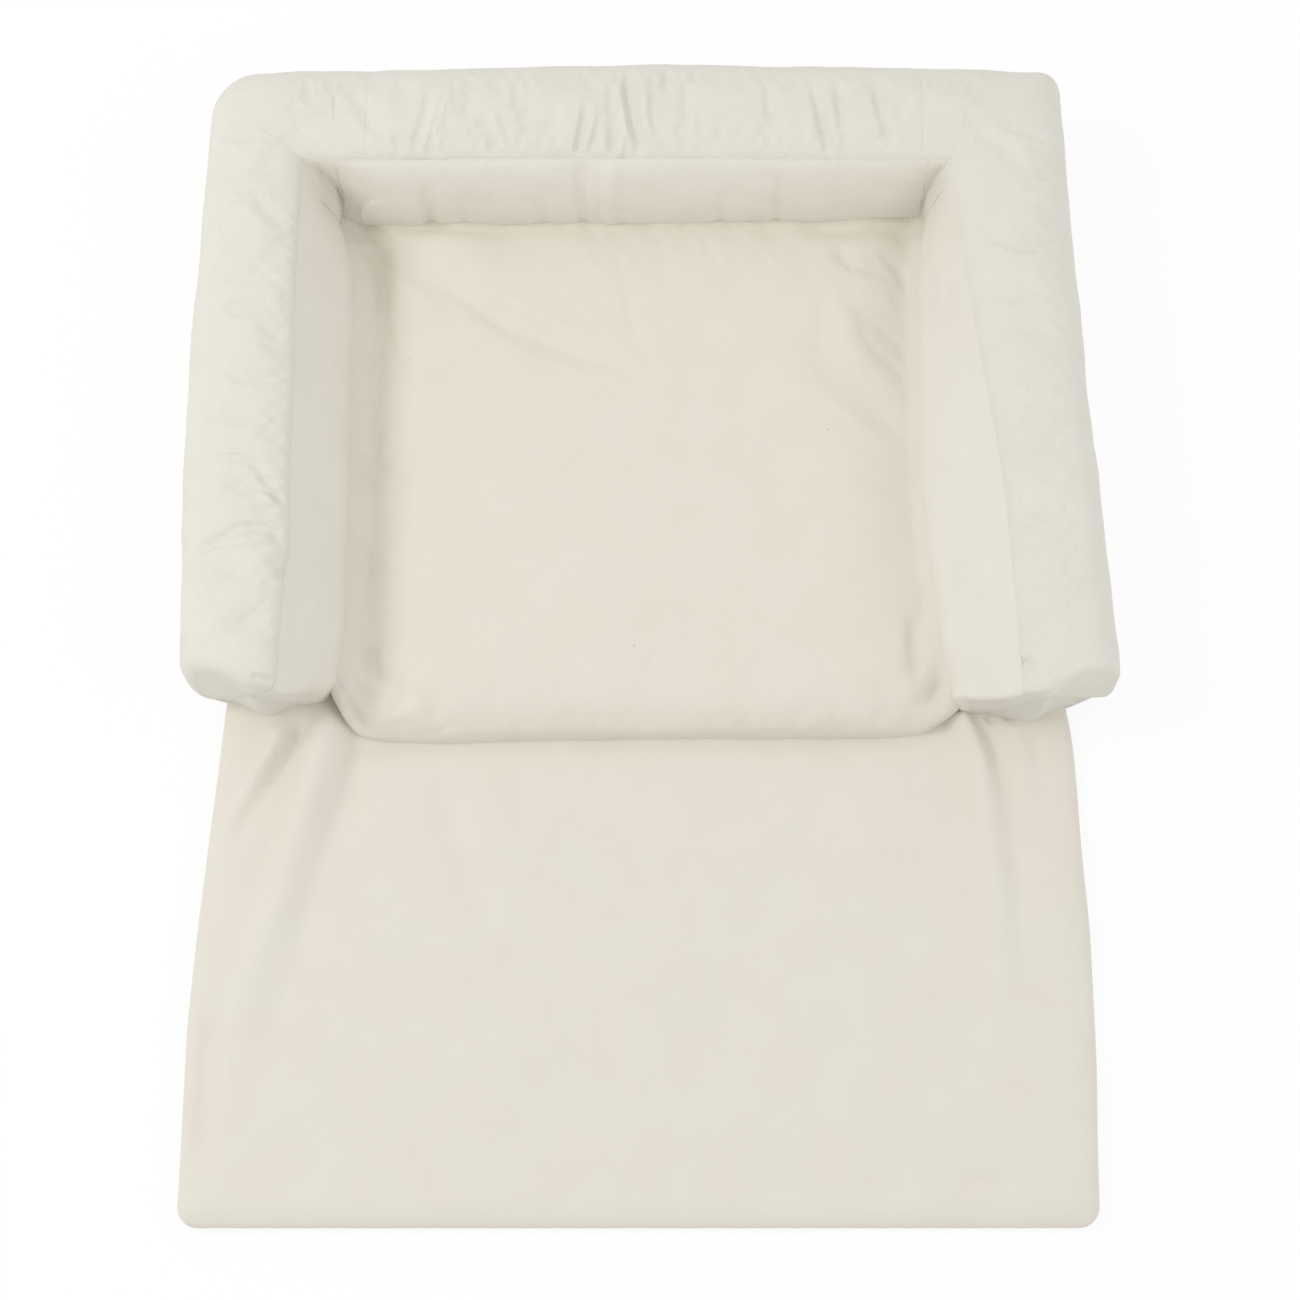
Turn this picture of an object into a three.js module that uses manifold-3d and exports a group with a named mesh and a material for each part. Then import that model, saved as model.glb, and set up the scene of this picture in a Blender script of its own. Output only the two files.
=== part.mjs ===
// Infant lounger, in millimetres, +Z up.
// A U-shaped stuffed bolster stands round three sides of a crowned pad, and a soft apron runs
// forward from the open end. -Y is the apron end, +Y the head end. The origin is on the floor,
// under the middle of the overall box.
import * as THREE from 'three';
import { mergeVertices } from 'three/addons/utils/BufferGeometryUtils.js';
import Module from 'manifold-3d';

// Bolster
const HEAD_WIDTH = 614;
const ARM_END_WIDTH = 640;
const ARM_LENGTH = 461; // back of the head to the arm ends
const ARM_HEAD_THICKNESS = 105;
const ARM_END_THICKNESS = 112;
const HEAD_THICKNESS = 104;
const BOLSTER_HEIGHT = 113;
const HEAD_CORNER_RADIUS = 22;
const HEAD_CORNER_FALL = 4; // how far the back edge comes forward towards its corners
const CAVITY_CORNER_RADIUS = 6;
const ARM_END_ROUND = 26;
const SEAM_DIP = 2.5; // how far a seam across the top draws the cover down
const SEAM_DIP_REACH = 16;

// Pad
const PAD_LIP = 21; // how far the pad's front stands forward of the arm ends
const PAD_HEIGHT = 45;
const PAD_EDGE_HEIGHT = 27;
const PAD_CROWN_REACH = 85; // from the bolster to the pad's full height
const PAD_FRONT_ROUND = 25;
const PAD_CORNER_DRAW = 24; // how far the pad's front corners are drawn back
const PAD_CREASE_DEPTH = 4;
const PAD_CREASE_WIDTH = 26;

// Apron
const APRON_LENGTH = 324;
const APRON_THICKNESS = 17;
const APRON_SET_IN = 28; // from the outside of the arm ends to the apron's edge
const APRON_FLARE = 20; // how much wider the apron is at its front edge
const APRON_CORNER_RADIUS = 16;
const APRON_EDGE_ROUND = 14;
const APRON_LAP_DISTANCE = 140; // from the crease to the line where the apron laps over the arms
const APRON_FOLD_WIDTH = 22;
const APRON_FOLD_HEIGHT = 8;
const APRON_FOLD_FADE = 30; // over which a fold dies out before the lap line

// Cloth and clearances
const CLOTH = 1.2;
const SEAM_GAP = 0.3;
const FILLING_GAP = 0.4;
const HINGE_CLEARANCE = 0.5;
const PAD_CLEARANCE = 0.5;

// Zip, along the back wall of the head run
const ZIP_HEIGHT = 34;
const ZIP_SLOT = 6.4;
const ZIP_TAPE_HEIGHT = 12;
const ZIP_TAPE_THICKNESS = 0.6;
const ZIP_TAPE_MARGIN = 2; // between the tape's ends and the seams
const ZIP_CHAIN_HEIGHT = 4.8;
const ZIP_CHAIN_PROUD = 0.4; // how far the teeth stand out of the cover
const ZIP_END_MARGIN = 8; // between the stops and the tape's ends
const ZIP_STOP_WIDTH = 3;
const ZIP_STOP_DEPTH = 1.4;
const SLIDER_LENGTH = 11;
const SLIDER_HEIGHT = 8;
const SLIDER_PLATE = 1.8;
const ARCH_WIDTH = 2;
const ARCH_LENGTH = 6.8;
const ARCH_HEIGHT = 2.7;
const ARCH_THICKNESS = 0.9;
const PULL_LENGTH = 22;
const PULL_WIDTH = 5.4;
const PULL_THICKNESS = 1.1;
const PULL_EYE_LENGTH = 5;
const PULL_EYE_WIDTH = 2.8;

// Places that follow from the sizes
const LENGTH_WITHOUT_ZIP = ARM_LENGTH + PAD_LIP + APRON_LENGTH;
const ZIP_PROUD = ZIP_CHAIN_PROUD + SEAM_GAP + SLIDER_PLATE + ARCH_HEIGHT;
const FRONT_Y = -(LENGTH_WITHOUT_ZIP + ZIP_PROUD) / 2;
const BACK_Y = FRONT_Y + LENGTH_WITHOUT_ZIP;
const CAVITY_BACK_Y = BACK_Y - HEAD_THICKNESS;
const ARM_END_Y = BACK_Y - ARM_LENGTH;
const PAD_FRONT_Y = ARM_END_Y - PAD_LIP;
const PAD_BACK_Y = CAVITY_BACK_Y - PAD_CLEARANCE;
const FLOOR_GAP_Z = CLOTH + SEAM_GAP; // underside of everything that stands on the base cloth
const APRON_HALF_THICKNESS = APRON_THICKNESS / 2;
const FOLD_START = APRON_HALF_THICKNESS + HINGE_CLEARANCE; // from a hinge line to the first fold
const FOLD_Y = PAD_FRONT_Y - HINGE_CLEARANCE - APRON_HALF_THICKNESS;
const LAP_Y = FOLD_Y - APRON_LAP_DISTANCE;
const CORNER_BACK_Y = BACK_Y - HEAD_CORNER_FALL;
const HEAD_SEAM_X = cavityHalf(CAVITY_BACK_Y) - CAVITY_CORNER_RADIUS;
const SLOT_TOP_SHARE = heightShare(ZIP_HEIGHT + ZIP_SLOT / 2);
const SLOT_BOTTOM_SHARE = heightShare(ZIP_HEIGHT - ZIP_SLOT / 2);

// The bolster's section from the cavity side outwards, as shares of its width and height.
const WALL_SHARES = [[0, 0], [0, 0.37], [0.09, 0.63], [0.28, 0.885]];
const CROWN_SHARES = [
  [0.28, 0.885], [0.36, 0.95], [0.47, 0.99], [0.58, 1], [0.7, 0.98], [0.81, 0.92], [0.9, 0.82],
  [0.96, 0.69], [0.99, 0.55], [1, 0.44],
];
const FOOT_SHARES = [[1, 0.15], [0.975, 0.06], [0.94, 0]];
const SECTION_SHARES = [...WALL_SHARES, ...CROWN_SHARES.slice(1), ...FOOT_SHARES];

// The pad's soft creases, as shares of its half width and its length from the head.
const PAD_CREASE_SHARES = [
  [[-0.84, 0.16], [-0.46, 0.44], [0.1, 0.58]],
  [[0.75, 0.12], [0.62, 0.36], [0.86, 0.62]],
];

// The apron's folds, as shares of its half width and its length from the crease.
const APRON_FOLD_SHARES = [
  [[-0.73, 0], [-0.84, 0.24], [-0.87, 0.62]],
  [[-0.83, 0], [-0.94, 0.3]],
  [[0.8, 0], [0.85, 0.35], [0.83, 0.75]],
];
const NOSE_EDGE_SHARE = 0.2; // how much of a nose's reach is left at the apron's side edges
const APRON_COLUMN_SHARES = [0, 0.28, 0.5, 0.62, 0.69, 0.75, 0.81, 0.87, 0.93, 1];

const ARM_STATIONS = 7;
const HEAD_STATIONS = 9;
const ROUND_STEPS = 3;
const CORNER_STEPS = 4;
const PAD_COLUMNS = 18;
const PAD_ROWS = 14;
const APRON_NEAR_ROWS = 7;
const APRON_FAR_ROWS = 8;

const QUARTER_TURN = Math.PI / 2;
const END_STATION_TURN = 1; // radians of the arm end's rounding that belong to the long panels

const bolsterCloth = finish(0xe9e6dd, 0.95);
const padCloth = finish(0xe6e0d2, 0.93);
const apronCloth = finish(0xe7e2d5, 0.93);
const baseCloth = finish(0xd9d4c7, 0.97);
const stuffing = finish(0xf6f4ee, 1);
const zipTapeCloth = finish(0xdcd6c8, 0.9);
const zipPlastic = finish(0xe9e5da, 0.45);
const zipMetal = finish(0xb9b6ae, 0.35, 0.9);

const wasm = await Module();
wasm.setup();

const lounger = new THREE.Group();
const apronNear = new THREE.Group();
const apronFar = new THREE.Group();
const zipSlider = new THREE.Group();
const zipPull = new THREE.Group();
lounger.add(apronNear, zipSlider);
apronNear.add(apronFar);
zipSlider.add(zipPull);

addBolster();
addPad();
addBase();
addApron();
addZip();

export default lounger;

/** A cloth, filling or metal with its colour and surface. */
function finish(color, roughness, metalness = 0) {
  return new THREE.MeshStandardMaterial({ color, roughness, metalness });
}

/** Adds a named piece to a group. */
function addPiece(group, name, geometry, material) {
  const mesh = new THREE.Mesh(geometry, material);
  mesh.name = name;
  group.add(mesh);
  return mesh;
}

/** Half the width between the arms at a place along them. */
function cavityHalf(y) {
  const headHalf = HEAD_WIDTH / 2 - ARM_HEAD_THICKNESS;
  const endHalf = ARM_END_WIDTH / 2 - ARM_END_THICKNESS;
  return THREE.MathUtils.lerp(headHalf, endHalf, armShare(y));
}

/** Half the width over the outside of the arms at a place along them. */
function outerHalf(y) {
  return THREE.MathUtils.lerp(HEAD_WIDTH / 2, ARM_END_WIDTH / 2, armShare(y));
}

/** How far along the arms a place is, from 0 at the back of the head to 1 at the arm ends. */
function armShare(y) {
  return (BACK_Y - y) / ARM_LENGTH;
}

/** The share of the bolster's height that a height above the floor is. */
function heightShare(z) {
  return (z - FLOOR_GAP_Z) / (BOLSTER_HEIGHT - FLOOR_GAP_Z);
}

/** The back edge of the head in plan, straight between the seams and falling to the corners. */
function backEdge(x) {
  const beyond = Math.max(0, Math.abs(x) - HEAD_SEAM_X);
  const share = beyond / (HEAD_WIDTH / 2 - HEAD_CORNER_RADIUS - HEAD_SEAM_X);
  return BACK_Y - HEAD_CORNER_FALL * Math.min(1, share) ** 2;
}

/** How far a round of a given radius has cut in at a distance from the edge. */
function roundCut(radius, distance) {
  const within = Math.max(0, radius - distance);
  return radius - Math.sqrt(radius ** 2 - Math.min(radius, within) ** 2);
}

/** A point on a quarter circle in plan, from the X side round to the Y side. */
function quarter(centreX, centreY, radius, turnShare) {
  const angle = QUARTER_TURN * turnShare;
  return new THREE.Vector2(centreX + radius * Math.cos(angle), centreY + radius * Math.sin(angle));
}

/**
 * A station is one cross-section of the bolster. It is a function of the depth below the cover's
 * skin and gives the section's inner and outer ends in plan, the depth and the dip of its top.
 */
function armStation(side, y, round = 0) {
  return (inset) => {
    const depth = inset + round;
    const inner = new THREE.Vector2(side * (cavityHalf(y) + depth), y);
    const outer = new THREE.Vector2(side * (outerHalf(y) - depth), y);
    return { inner, outer, depth, dip: 0 };
  };
}

/** A station in the arm's rounded end, at an angle round from its side. */
function endStation(side, angle) {
  const round = ARM_END_ROUND * (1 - Math.cos(angle));
  return armStation(side, ARM_END_Y + ARM_END_ROUND * (1 - Math.sin(angle)), round);
}

/** A station that fans round the corner between arm and head, given its place in the outline. */
function cornerStation(side, index) {
  return (depth) => {
    const outline = cornerOutline(depth);
    const turnShare = index / (outline.length - 1);
    const centreY = CAVITY_BACK_Y - CAVITY_CORNER_RADIUS;
    const inner = quarter(HEAD_SEAM_X, centreY, CAVITY_CORNER_RADIUS + depth, turnShare);
    const outer = outline[index].clone();
    inner.x *= side;
    outer.x *= side;
    return { inner, outer, depth, dip: index === outline.length - 1 ? SEAM_DIP : 0 };
  };
}

/** The outside of the head's corner in plan, from beside the cavity round to the head seam. */
function cornerOutline(depth) {
  const startY = CAVITY_BACK_Y - CAVITY_CORNER_RADIUS;
  const centreX = HEAD_WIDTH / 2 - HEAD_CORNER_RADIUS;
  const centreY = CORNER_BACK_Y - HEAD_CORNER_RADIUS;
  const radius = HEAD_CORNER_RADIUS - depth;
  const points = [new THREE.Vector2(outerHalf(startY) - depth, startY)];
  for (let step = 0; step <= CORNER_STEPS; step += 1) {
    points.push(quarter(centreX, centreY, radius, step / CORNER_STEPS));
  }
  const nearSeamX = HEAD_SEAM_X + SEAM_DIP_REACH;
  points.push(new THREE.Vector2(nearSeamX, backEdge(nearSeamX) - depth));
  points.push(new THREE.Vector2(HEAD_SEAM_X, backEdge(HEAD_SEAM_X) - depth));
  return points;
}

/** A station of the head run. */
function headStation(x) {
  return (depth) => {
    const inner = new THREE.Vector2(x, CAVITY_BACK_Y + depth);
    const outer = new THREE.Vector2(x, backEdge(x) - depth);
    const near = Math.max(0, 1 - (HEAD_SEAM_X - Math.abs(x)) / SEAM_DIP_REACH);
    return { inner, outer, depth, dip: SEAM_DIP * near ** 2 };
  };
}

/** The straight stations of an arm, from its rounded end to the cavity's corner. */
function armRun(side) {
  const startY = ARM_END_Y + ARM_END_ROUND;
  const endY = CAVITY_BACK_Y - CAVITY_CORNER_RADIUS;
  const stations = [];
  for (let step = 0; step < ARM_STATIONS; step += 1) {
    stations.push(armStation(side, THREE.MathUtils.lerp(startY, endY, step / ARM_STATIONS)));
  }
  return stations;
}

/** The stations of an arm's rounded end that belong to its long panels, foremost first. */
function armEndRun(side) {
  const stations = [];
  for (let step = 0; step < ROUND_STEPS; step += 1) {
    stations.push(endStation(side, END_STATION_TURN * (1 - step / ROUND_STEPS)));
  }
  return stations;
}

/** The stations round the corner between arm and head, up to an index in the outline. */
function cornerRun(side, from, to) {
  const stations = [];
  for (let index = from; index <= to; index += 1) {
    stations.push(cornerStation(side, index));
  }
  return stations;
}

/** The stations of the head run between its two seams. */
function headRun() {
  const stations = [headStation(-HEAD_SEAM_X)];
  const reach = HEAD_SEAM_X - SEAM_DIP_REACH;
  for (let step = 0; step <= HEAD_STATIONS; step += 1) {
    stations.push(headStation(THREE.MathUtils.lerp(-reach, reach, step / HEAD_STATIONS)));
  }
  stations.push(headStation(HEAD_SEAM_X));
  return stations;
}

/** A point of the bolster's section at a station, at a depth below the cover's skin. */
function sectionPoint(station, [across, up], inset) {
  const { inner, outer, depth, dip } = station(inset);
  const plan = inner.clone().lerp(outer, across);
  const height = BOLSTER_HEIGHT - depth - dip - FLOOR_GAP_Z;
  return new THREE.Vector3(plan.x, plan.y, FLOOR_GAP_Z + up * height);
}

/** A grid of section points: a row for each station, a column for each share. */
function sectionGrid(stations, shares, inset) {
  return stations.map((station) => shares.map((share) => sectionPoint(station, share, inset)));
}

/** A cover panel that follows the bolster's section along some stations. */
function coverPanel(stations, shares) {
  const skin = trimmed(sectionGrid(stations, shares, 0));
  const lining = trimmed(sectionGrid(stations, shares, CLOTH));
  return panelSolid(skin, lining);
}

/** A stuffing that fills the section along some stations, at a depth below the skin. */
function coverFilling(stations, inset) {
  const rings = sectionGrid(stations, SECTION_SHARES, inset);
  trimRows(rings);
  return ringSolid(rings);
}

/** The domed panel that closes an arm's end. */
function endCap(side) {
  const angles = [];
  for (let step = 0; step <= ROUND_STEPS; step += 1) {
    angles.push(THREE.MathUtils.lerp(END_STATION_TURN, QUARTER_TURN, step / ROUND_STEPS));
  }
  const stations = angles.map((angle) => endStation(side, angle));
  const skin = sectionGrid(stations, SECTION_SHARES, 0);
  const lining = sectionGrid(stations, SECTION_SHARES, CLOTH);
  skin.flat().forEach((point) => { point.y -= SEAM_GAP / 2; });
  lining.forEach((ring, step) => ring.forEach((point) => {
    point.y += THREE.MathUtils.lerp(-SEAM_GAP / 2, CLOTH, step / ROUND_STEPS);
  }));
  liftFeet(lining);
  return capSolid(skin, lining);
}

/** Raises the lowest points of a cap's lining by the cloth, clear of its skin. */
function liftFeet(lining) {
  for (const point of lining.flat()) {
    if (point.z < FLOOR_GAP_Z + CLOTH) point.z = FLOOR_GAP_Z + CLOTH;
  }
}

/** Adds the cover panels and stuffing of head and arms. */
function addBolster() {
  const lastCorner = cornerOutline(0).length - 1;
  const diagonal = 1 + CORNER_STEPS / 2;
  const headCover = [...CROWN_SHARES, [1, SLOT_TOP_SHARE]];
  const headFilling = CLOTH + SEAM_GAP + ZIP_TAPE_THICKNESS + SEAM_GAP;
  const headWallStations = [
    ...cornerRun(-1, diagonal, lastCorner - 1), ...headRun(),
    ...cornerRun(1, diagonal, lastCorner - 1).reverse(),
  ];
  addPiece(lounger, 'head_top_panel', coverPanel(headRun(), headCover), bolsterCloth);
  addPiece(lounger, 'head_back_lower_panel',
    coverPanel(headRun(), [[1, SLOT_BOTTOM_SHARE], ...FOOT_SHARES]), bolsterCloth);
  addPiece(lounger, 'head_inner_wall', coverPanel(headWallStations, WALL_SHARES), bolsterCloth);
  addPiece(lounger, 'head_core', coverFilling(headRun(), headFilling), stuffing);
  for (const [name, side] of [['left', -1], ['right', 1]]) {
    addArm(name, side, diagonal, lastCorner);
  }
}

/** Adds one arm: its long panel with the corner, its inner wall, its end cap and its stuffing. */
function addArm(name, side, diagonal, lastCorner) {
  const ends = armEndRun(side);
  const straight = armRun(side);
  const corner = cornerRun(side, 0, lastCorner);
  const cover = [...CROWN_SHARES, ...FOOT_SHARES];
  addPiece(lounger, `${name}_arm_top_panel`,
    coverPanel([...ends, ...straight, ...corner], cover), bolsterCloth);
  addPiece(lounger, `${name}_inner_wall`,
    coverPanel([...ends, ...straight, ...corner.slice(0, diagonal + 1)], WALL_SHARES), bolsterCloth);
  addPiece(lounger, `${name}_end_cap`, endCap(side), bolsterCloth);
  addPiece(lounger, `${name}_arm_core`,
    coverFilling([...ends.slice(1), ...straight, ...corner], CLOTH + FILLING_GAP), stuffing);
}

/** Half the pad's width at a place along it, with its corners at the head rounded. */
function padHalf(y) {
  return cavityHalf(y) - PAD_CLEARANCE - roundCut(CAVITY_CORNER_RADIUS, PAD_BACK_Y - y);
}

/** Height of the pad's top above the floor, crowned and drawn down to its edges. */
function padTop(x, y) {
  const fromSide = rise((padHalf(y) - Math.abs(x)) / PAD_CROWN_REACH);
  const fromHead = rise((PAD_BACK_Y - y) / PAD_CROWN_REACH);
  const crown = (PAD_HEIGHT - PAD_EDGE_HEIGHT) * fromSide * fromHead;
  return PAD_EDGE_HEIGHT + crown - padCrease(x, y) * fromSide * fromHead;
}

/** Rises from 0 to 1 and levels off. */
function rise(share) {
  return 1 - (1 - THREE.MathUtils.clamp(share, 0, 1)) ** 2;
}

/** Depth of the pad's soft creases at a place. */
function padCrease(x, y) {
  const place = new THREE.Vector2(x, y);
  const half = cavityHalf(PAD_FRONT_Y);
  const length = PAD_BACK_Y - PAD_FRONT_Y;
  const depths = PAD_CREASE_SHARES.map((shares) => {
    const route = shares.map(([across, along]) => (
      new THREE.Vector2(across * half, PAD_BACK_Y - along * length)));
    return PAD_CREASE_DEPTH * swell(distanceToRoute(place, route) / PAD_CREASE_WIDTH);
  });
  return Math.max(...depths);
}

/** A smooth swell that is 1 in the middle and 0 from a share of 1 outwards. */
function swell(share) {
  return (1 - Math.min(1, share) ** 2) ** 2;
}

/** The distance in plan from a place to the nearest point of a route. */
function distanceToRoute(place, route) {
  let nearest = Infinity;
  for (let index = 1; index < route.length; index += 1) {
    const along = route[index].clone().sub(route[index - 1]);
    const offset = place.clone().sub(route[index - 1]);
    const share = THREE.MathUtils.clamp(offset.dot(along) / along.lengthSq(), 0, 1);
    nearest = Math.min(nearest, offset.sub(along.multiplyScalar(share)).length());
  }
  return nearest;
}

/** The rows of the pad's surface: their place along the pad and how far they turn down in front. */
function padRows() {
  const rows = [];
  const frontY = PAD_FRONT_Y + PAD_FRONT_ROUND;
  const backRows = [0, CAVITY_CORNER_RADIUS / 3, CAVITY_CORNER_RADIUS];
  backRows.forEach((distance) => rows.push({ y: PAD_BACK_Y - distance, turn: 0 }));
  const startY = PAD_BACK_Y - CAVITY_CORNER_RADIUS;
  for (let step = 1; step <= PAD_ROWS; step += 1) {
    rows.push({ y: THREE.MathUtils.lerp(startY, frontY, step / PAD_ROWS), turn: 0 });
  }
  for (let step = 1; step <= ROUND_STEPS; step += 1) {
    rows.push({ y: frontY, turn: QUARTER_TURN * (step / ROUND_STEPS) });
  }
  return rows;
}

/** A point of the pad's surface at a depth below its skin. */
function padPoint(acrossShare, { y, turn }, inset) {
  const back = Math.min(y, PAD_BACK_Y - inset);
  const x = acrossShare * (padHalf(y) - inset);
  const forward = (PAD_FRONT_ROUND - inset) * Math.sin(turn);
  const frontShare = THREE.MathUtils.clamp((PAD_BACK_Y - y) / (PAD_BACK_Y - PAD_FRONT_Y), 0, 1);
  const drawn = PAD_CORNER_DRAW * Math.abs(acrossShare) ** 4 * frontShare ** 4;
  const top = padTop(x, y) - inset;
  const level = APRON_THICKNESS + SEAM_GAP;
  const z = THREE.MathUtils.lerp(top, level, 1 - Math.cos(turn));
  return new THREE.Vector3(x, back - forward + drawn, z);
}

/** The grid of the pad's surface, ending at the foot of its front face. */
function padGrid(columns, inset) {
  const rows = padRows();
  const grid = rows.map((row) => columns.map((share) => padPoint(share, row, inset)));
  const foot = grid[grid.length - 1].map((point) => point.clone().setZ(FLOOR_GAP_Z));
  return [...grid, foot];
}

/** Adds the pad's cover and filling. */
function addPad() {
  const columns = [];
  for (let step = 0; step <= PAD_COLUMNS; step += 1) {
    columns.push((2 * step) / PAD_COLUMNS - 1);
  }
  const cover = panelSolid(trimmed(padGrid(columns, 0)), trimmed(padGrid(columns, CLOTH)));
  addPiece(lounger, 'pad_top_panel', cover, padCloth);
  const filling = padGrid(columns, CLOTH + FILLING_GAP);
  filling.pop();
  const rings = filling.map((row) => [
    row[0].clone().setZ(FLOOR_GAP_Z), ...row, row[row.length - 1].clone().setZ(FLOOR_GAP_Z),
  ]);
  addPiece(lounger, 'pad_core', ringSolid(rings), stuffing);
}

/** Adds the base cloth under bolster and pad, and the apron's edges tucked under the arm ends. */
function addBase() {
  const footShare = FOOT_SHARES[FOOT_SHARES.length - 1];
  const corner = cornerRun(1, 0, cornerOutline(0).length - 1);
  const right = [...armEndRun(1), ...armRun(1), ...corner];
  const rightEdge = right.map((station) => sectionPoint(station, footShare, 0));
  const half = apronHalf(PAD_FRONT_Y);
  const outline = [
    new THREE.Vector2(half, PAD_FRONT_Y), new THREE.Vector2(half, ARM_END_Y),
    ...rightEdge.map((point) => new THREE.Vector2(point.x, point.y)),
  ];
  const leftOutline = outline.map((point) => new THREE.Vector2(-point.x, point.y)).reverse();
  const shape = new THREE.Shape([...outline, ...leftOutline]);
  addPiece(lounger, 'base_panel', slab(shape, CLOTH), baseCloth);
  addPiece(lounger, 'left_apron_tuck', apronTuck(-1), apronCloth);
  addPiece(lounger, 'right_apron_tuck', apronTuck(1), apronCloth);
}

/** A plan shape given a thickness upwards. */
function slab(shape, depth) {
  return new THREE.ExtrudeGeometry(shape, { depth, bevelEnabled: false });
}

/** The apron's near edge where it is sewn in under an arm end, rounded down at the outside. */
function apronTuck(side) {
  const innerX = cavityHalf(PAD_FRONT_Y) + SEAM_GAP;
  const outerX = apronHalf(PAD_FRONT_Y);
  const frontY = PAD_FRONT_Y;
  const backY = ARM_END_Y - SEAM_GAP;
  const tuckRing = (x, top) => [
    new THREE.Vector3(side * x, frontY, FLOOR_GAP_Z), new THREE.Vector3(side * x, frontY, top),
    new THREE.Vector3(side * x, backY, top), new THREE.Vector3(side * x, backY, FLOOR_GAP_Z),
  ];
  const rings = [tuckRing(innerX, APRON_THICKNESS)];
  for (let step = 0; step <= ROUND_STEPS; step += 1) {
    const angle = QUARTER_TURN * (1 - step / (ROUND_STEPS + 1));
    const x = outerX - APRON_EDGE_ROUND * (1 - Math.cos(angle));
    rings.push(tuckRing(x, FLOOR_GAP_Z + (APRON_THICKNESS - FLOOR_GAP_Z) * Math.sin(angle)));
  }
  return ringSolid(rings);
}

/** Half the apron's width at a place along it, with its front corners rounded. */
function apronHalf(y) {
  const share = (PAD_FRONT_Y - y) / APRON_LENGTH;
  const half = ARM_END_WIDTH / 2 - APRON_SET_IN + (APRON_FLARE / 2) * share;
  return half - roundCut(APRON_CORNER_RADIUS, y - FRONT_Y);
}

/** How far the apron's folds stand up at a place, dying out before the lap line. */
function apronFold(x, y) {
  const place = new THREE.Vector2(x, y);
  const half = apronHalf(PAD_FRONT_Y);
  const heights = APRON_FOLD_SHARES.map((shares) => {
    const route = shares.map(([across, along]) => (
      new THREE.Vector2(across * half, PAD_FRONT_Y - along * APRON_LENGTH)));
    return APRON_FOLD_HEIGHT * swell(distanceToRoute(place, route) / APRON_FOLD_WIDTH);
  });
  const fromLap = Math.abs(y - LAP_Y) - FOLD_START;
  const fromCrease = FOLD_Y - FOLD_START - y;
  return Math.max(...heights) * rise(fromLap / APRON_FOLD_FADE) * rise(fromCrease / APRON_FOLD_FADE);
}

/** The rows of a round nose about a hinge line: up over the top, or down under the bottom. */
function noseRows(hingeY, direction) {
  const rows = [];
  for (let step = 0; step <= ROUND_STEPS; step += 1) {
    const angle = (direction * QUARTER_TURN * step) / ROUND_STEPS;
    rows.push((inset) => ({
      y: hingeY,
      reach: (APRON_HALF_THICKNESS - inset) * Math.cos(angle),
      z: APRON_HALF_THICKNESS + (APRON_HALF_THICKNESS - inset) * Math.sin(angle),
    }));
  }
  return rows;
}

/** Evenly spaced rows of the apron's top side, from where its folds can rise to its end. */
function topRows(hingeY, endY, count) {
  const rows = [];
  for (let step = 0; step <= count; step += 1) {
    const y = THREE.MathUtils.lerp(hingeY - FOLD_START, endY, step / count);
    rows.push((inset) => ({ y, reach: 0, z: APRON_THICKNESS - inset }));
  }
  return rows;
}

/** The rows that turn the top cloth down at the apron's front edge. */
function frontRows() {
  const rows = [];
  for (let step = 1; step <= ROUND_STEPS; step += 1) {
    const angle = QUARTER_TURN * (1 - step / ROUND_STEPS);
    rows.push((inset) => ({
      y: FRONT_Y + APRON_EDGE_ROUND - (APRON_EDGE_ROUND - inset) * Math.cos(angle),
      reach: 0,
      z: FLOOR_GAP_Z + (APRON_THICKNESS - inset - FLOOR_GAP_Z) * Math.sin(angle),
    }));
  }
  return rows;
}

/** The columns of the top cloth: over the side edges' rounds and across the flat between. */
function topColumns() {
  const edge = [];
  for (let step = 0; step < ROUND_STEPS; step += 1) {
    const angle = (QUARTER_TURN * step) / ROUND_STEPS;
    edge.push((half, inset) => ({
      x: half - APRON_EDGE_ROUND + (APRON_EDGE_ROUND - inset) * Math.cos(angle),
      full: Math.sin(angle),
    }));
  }
  const flat = APRON_COLUMN_SHARES.slice(1).map((share) => (half) => (
    { x: share * (half - APRON_EDGE_ROUND), full: 1 }));
  return [...edge, ...flat.reverse()];
}

/** Columns on one side, the middle and the other side of the apron. */
function mirroredColumns(columns) {
  const left = columns.map((column) => (half, inset) => {
    const { x, full } = column(half, inset);
    return { x: -x, full };
  });
  return [...left, () => ({ x: 0, full: 1 }), ...columns.slice().reverse()];
}

/** A grid of the apron's cloth at a depth from its skin, rising from a lowest level. */
function apronGrid(rows, columns, inset, level, folded) {
  return rows.map((row) => columns.map((column) => {
    const { y, reach, z } = row(inset);
    const { x, full } = column(apronHalf(row(0).y), inset);
    const fold = folded ? apronFold(x, y) : 0;
    const nose = reach * THREE.MathUtils.lerp(NOSE_EDGE_SHARE, 1, full);
    return new THREE.Vector3(x, y + nose, level + (z - level + fold) * full);
  }));
}

/** The top cloth of a stretch of the apron. */
function apronTop(rows) {
  const columns = mirroredColumns(topColumns());
  const skin = apronGrid(rows, columns, 0, FLOOR_GAP_Z, true);
  const lining = apronGrid(rows, columns, CLOTH, FLOOR_GAP_Z, true);
  return panelSolid(skin, lining);
}

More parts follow.
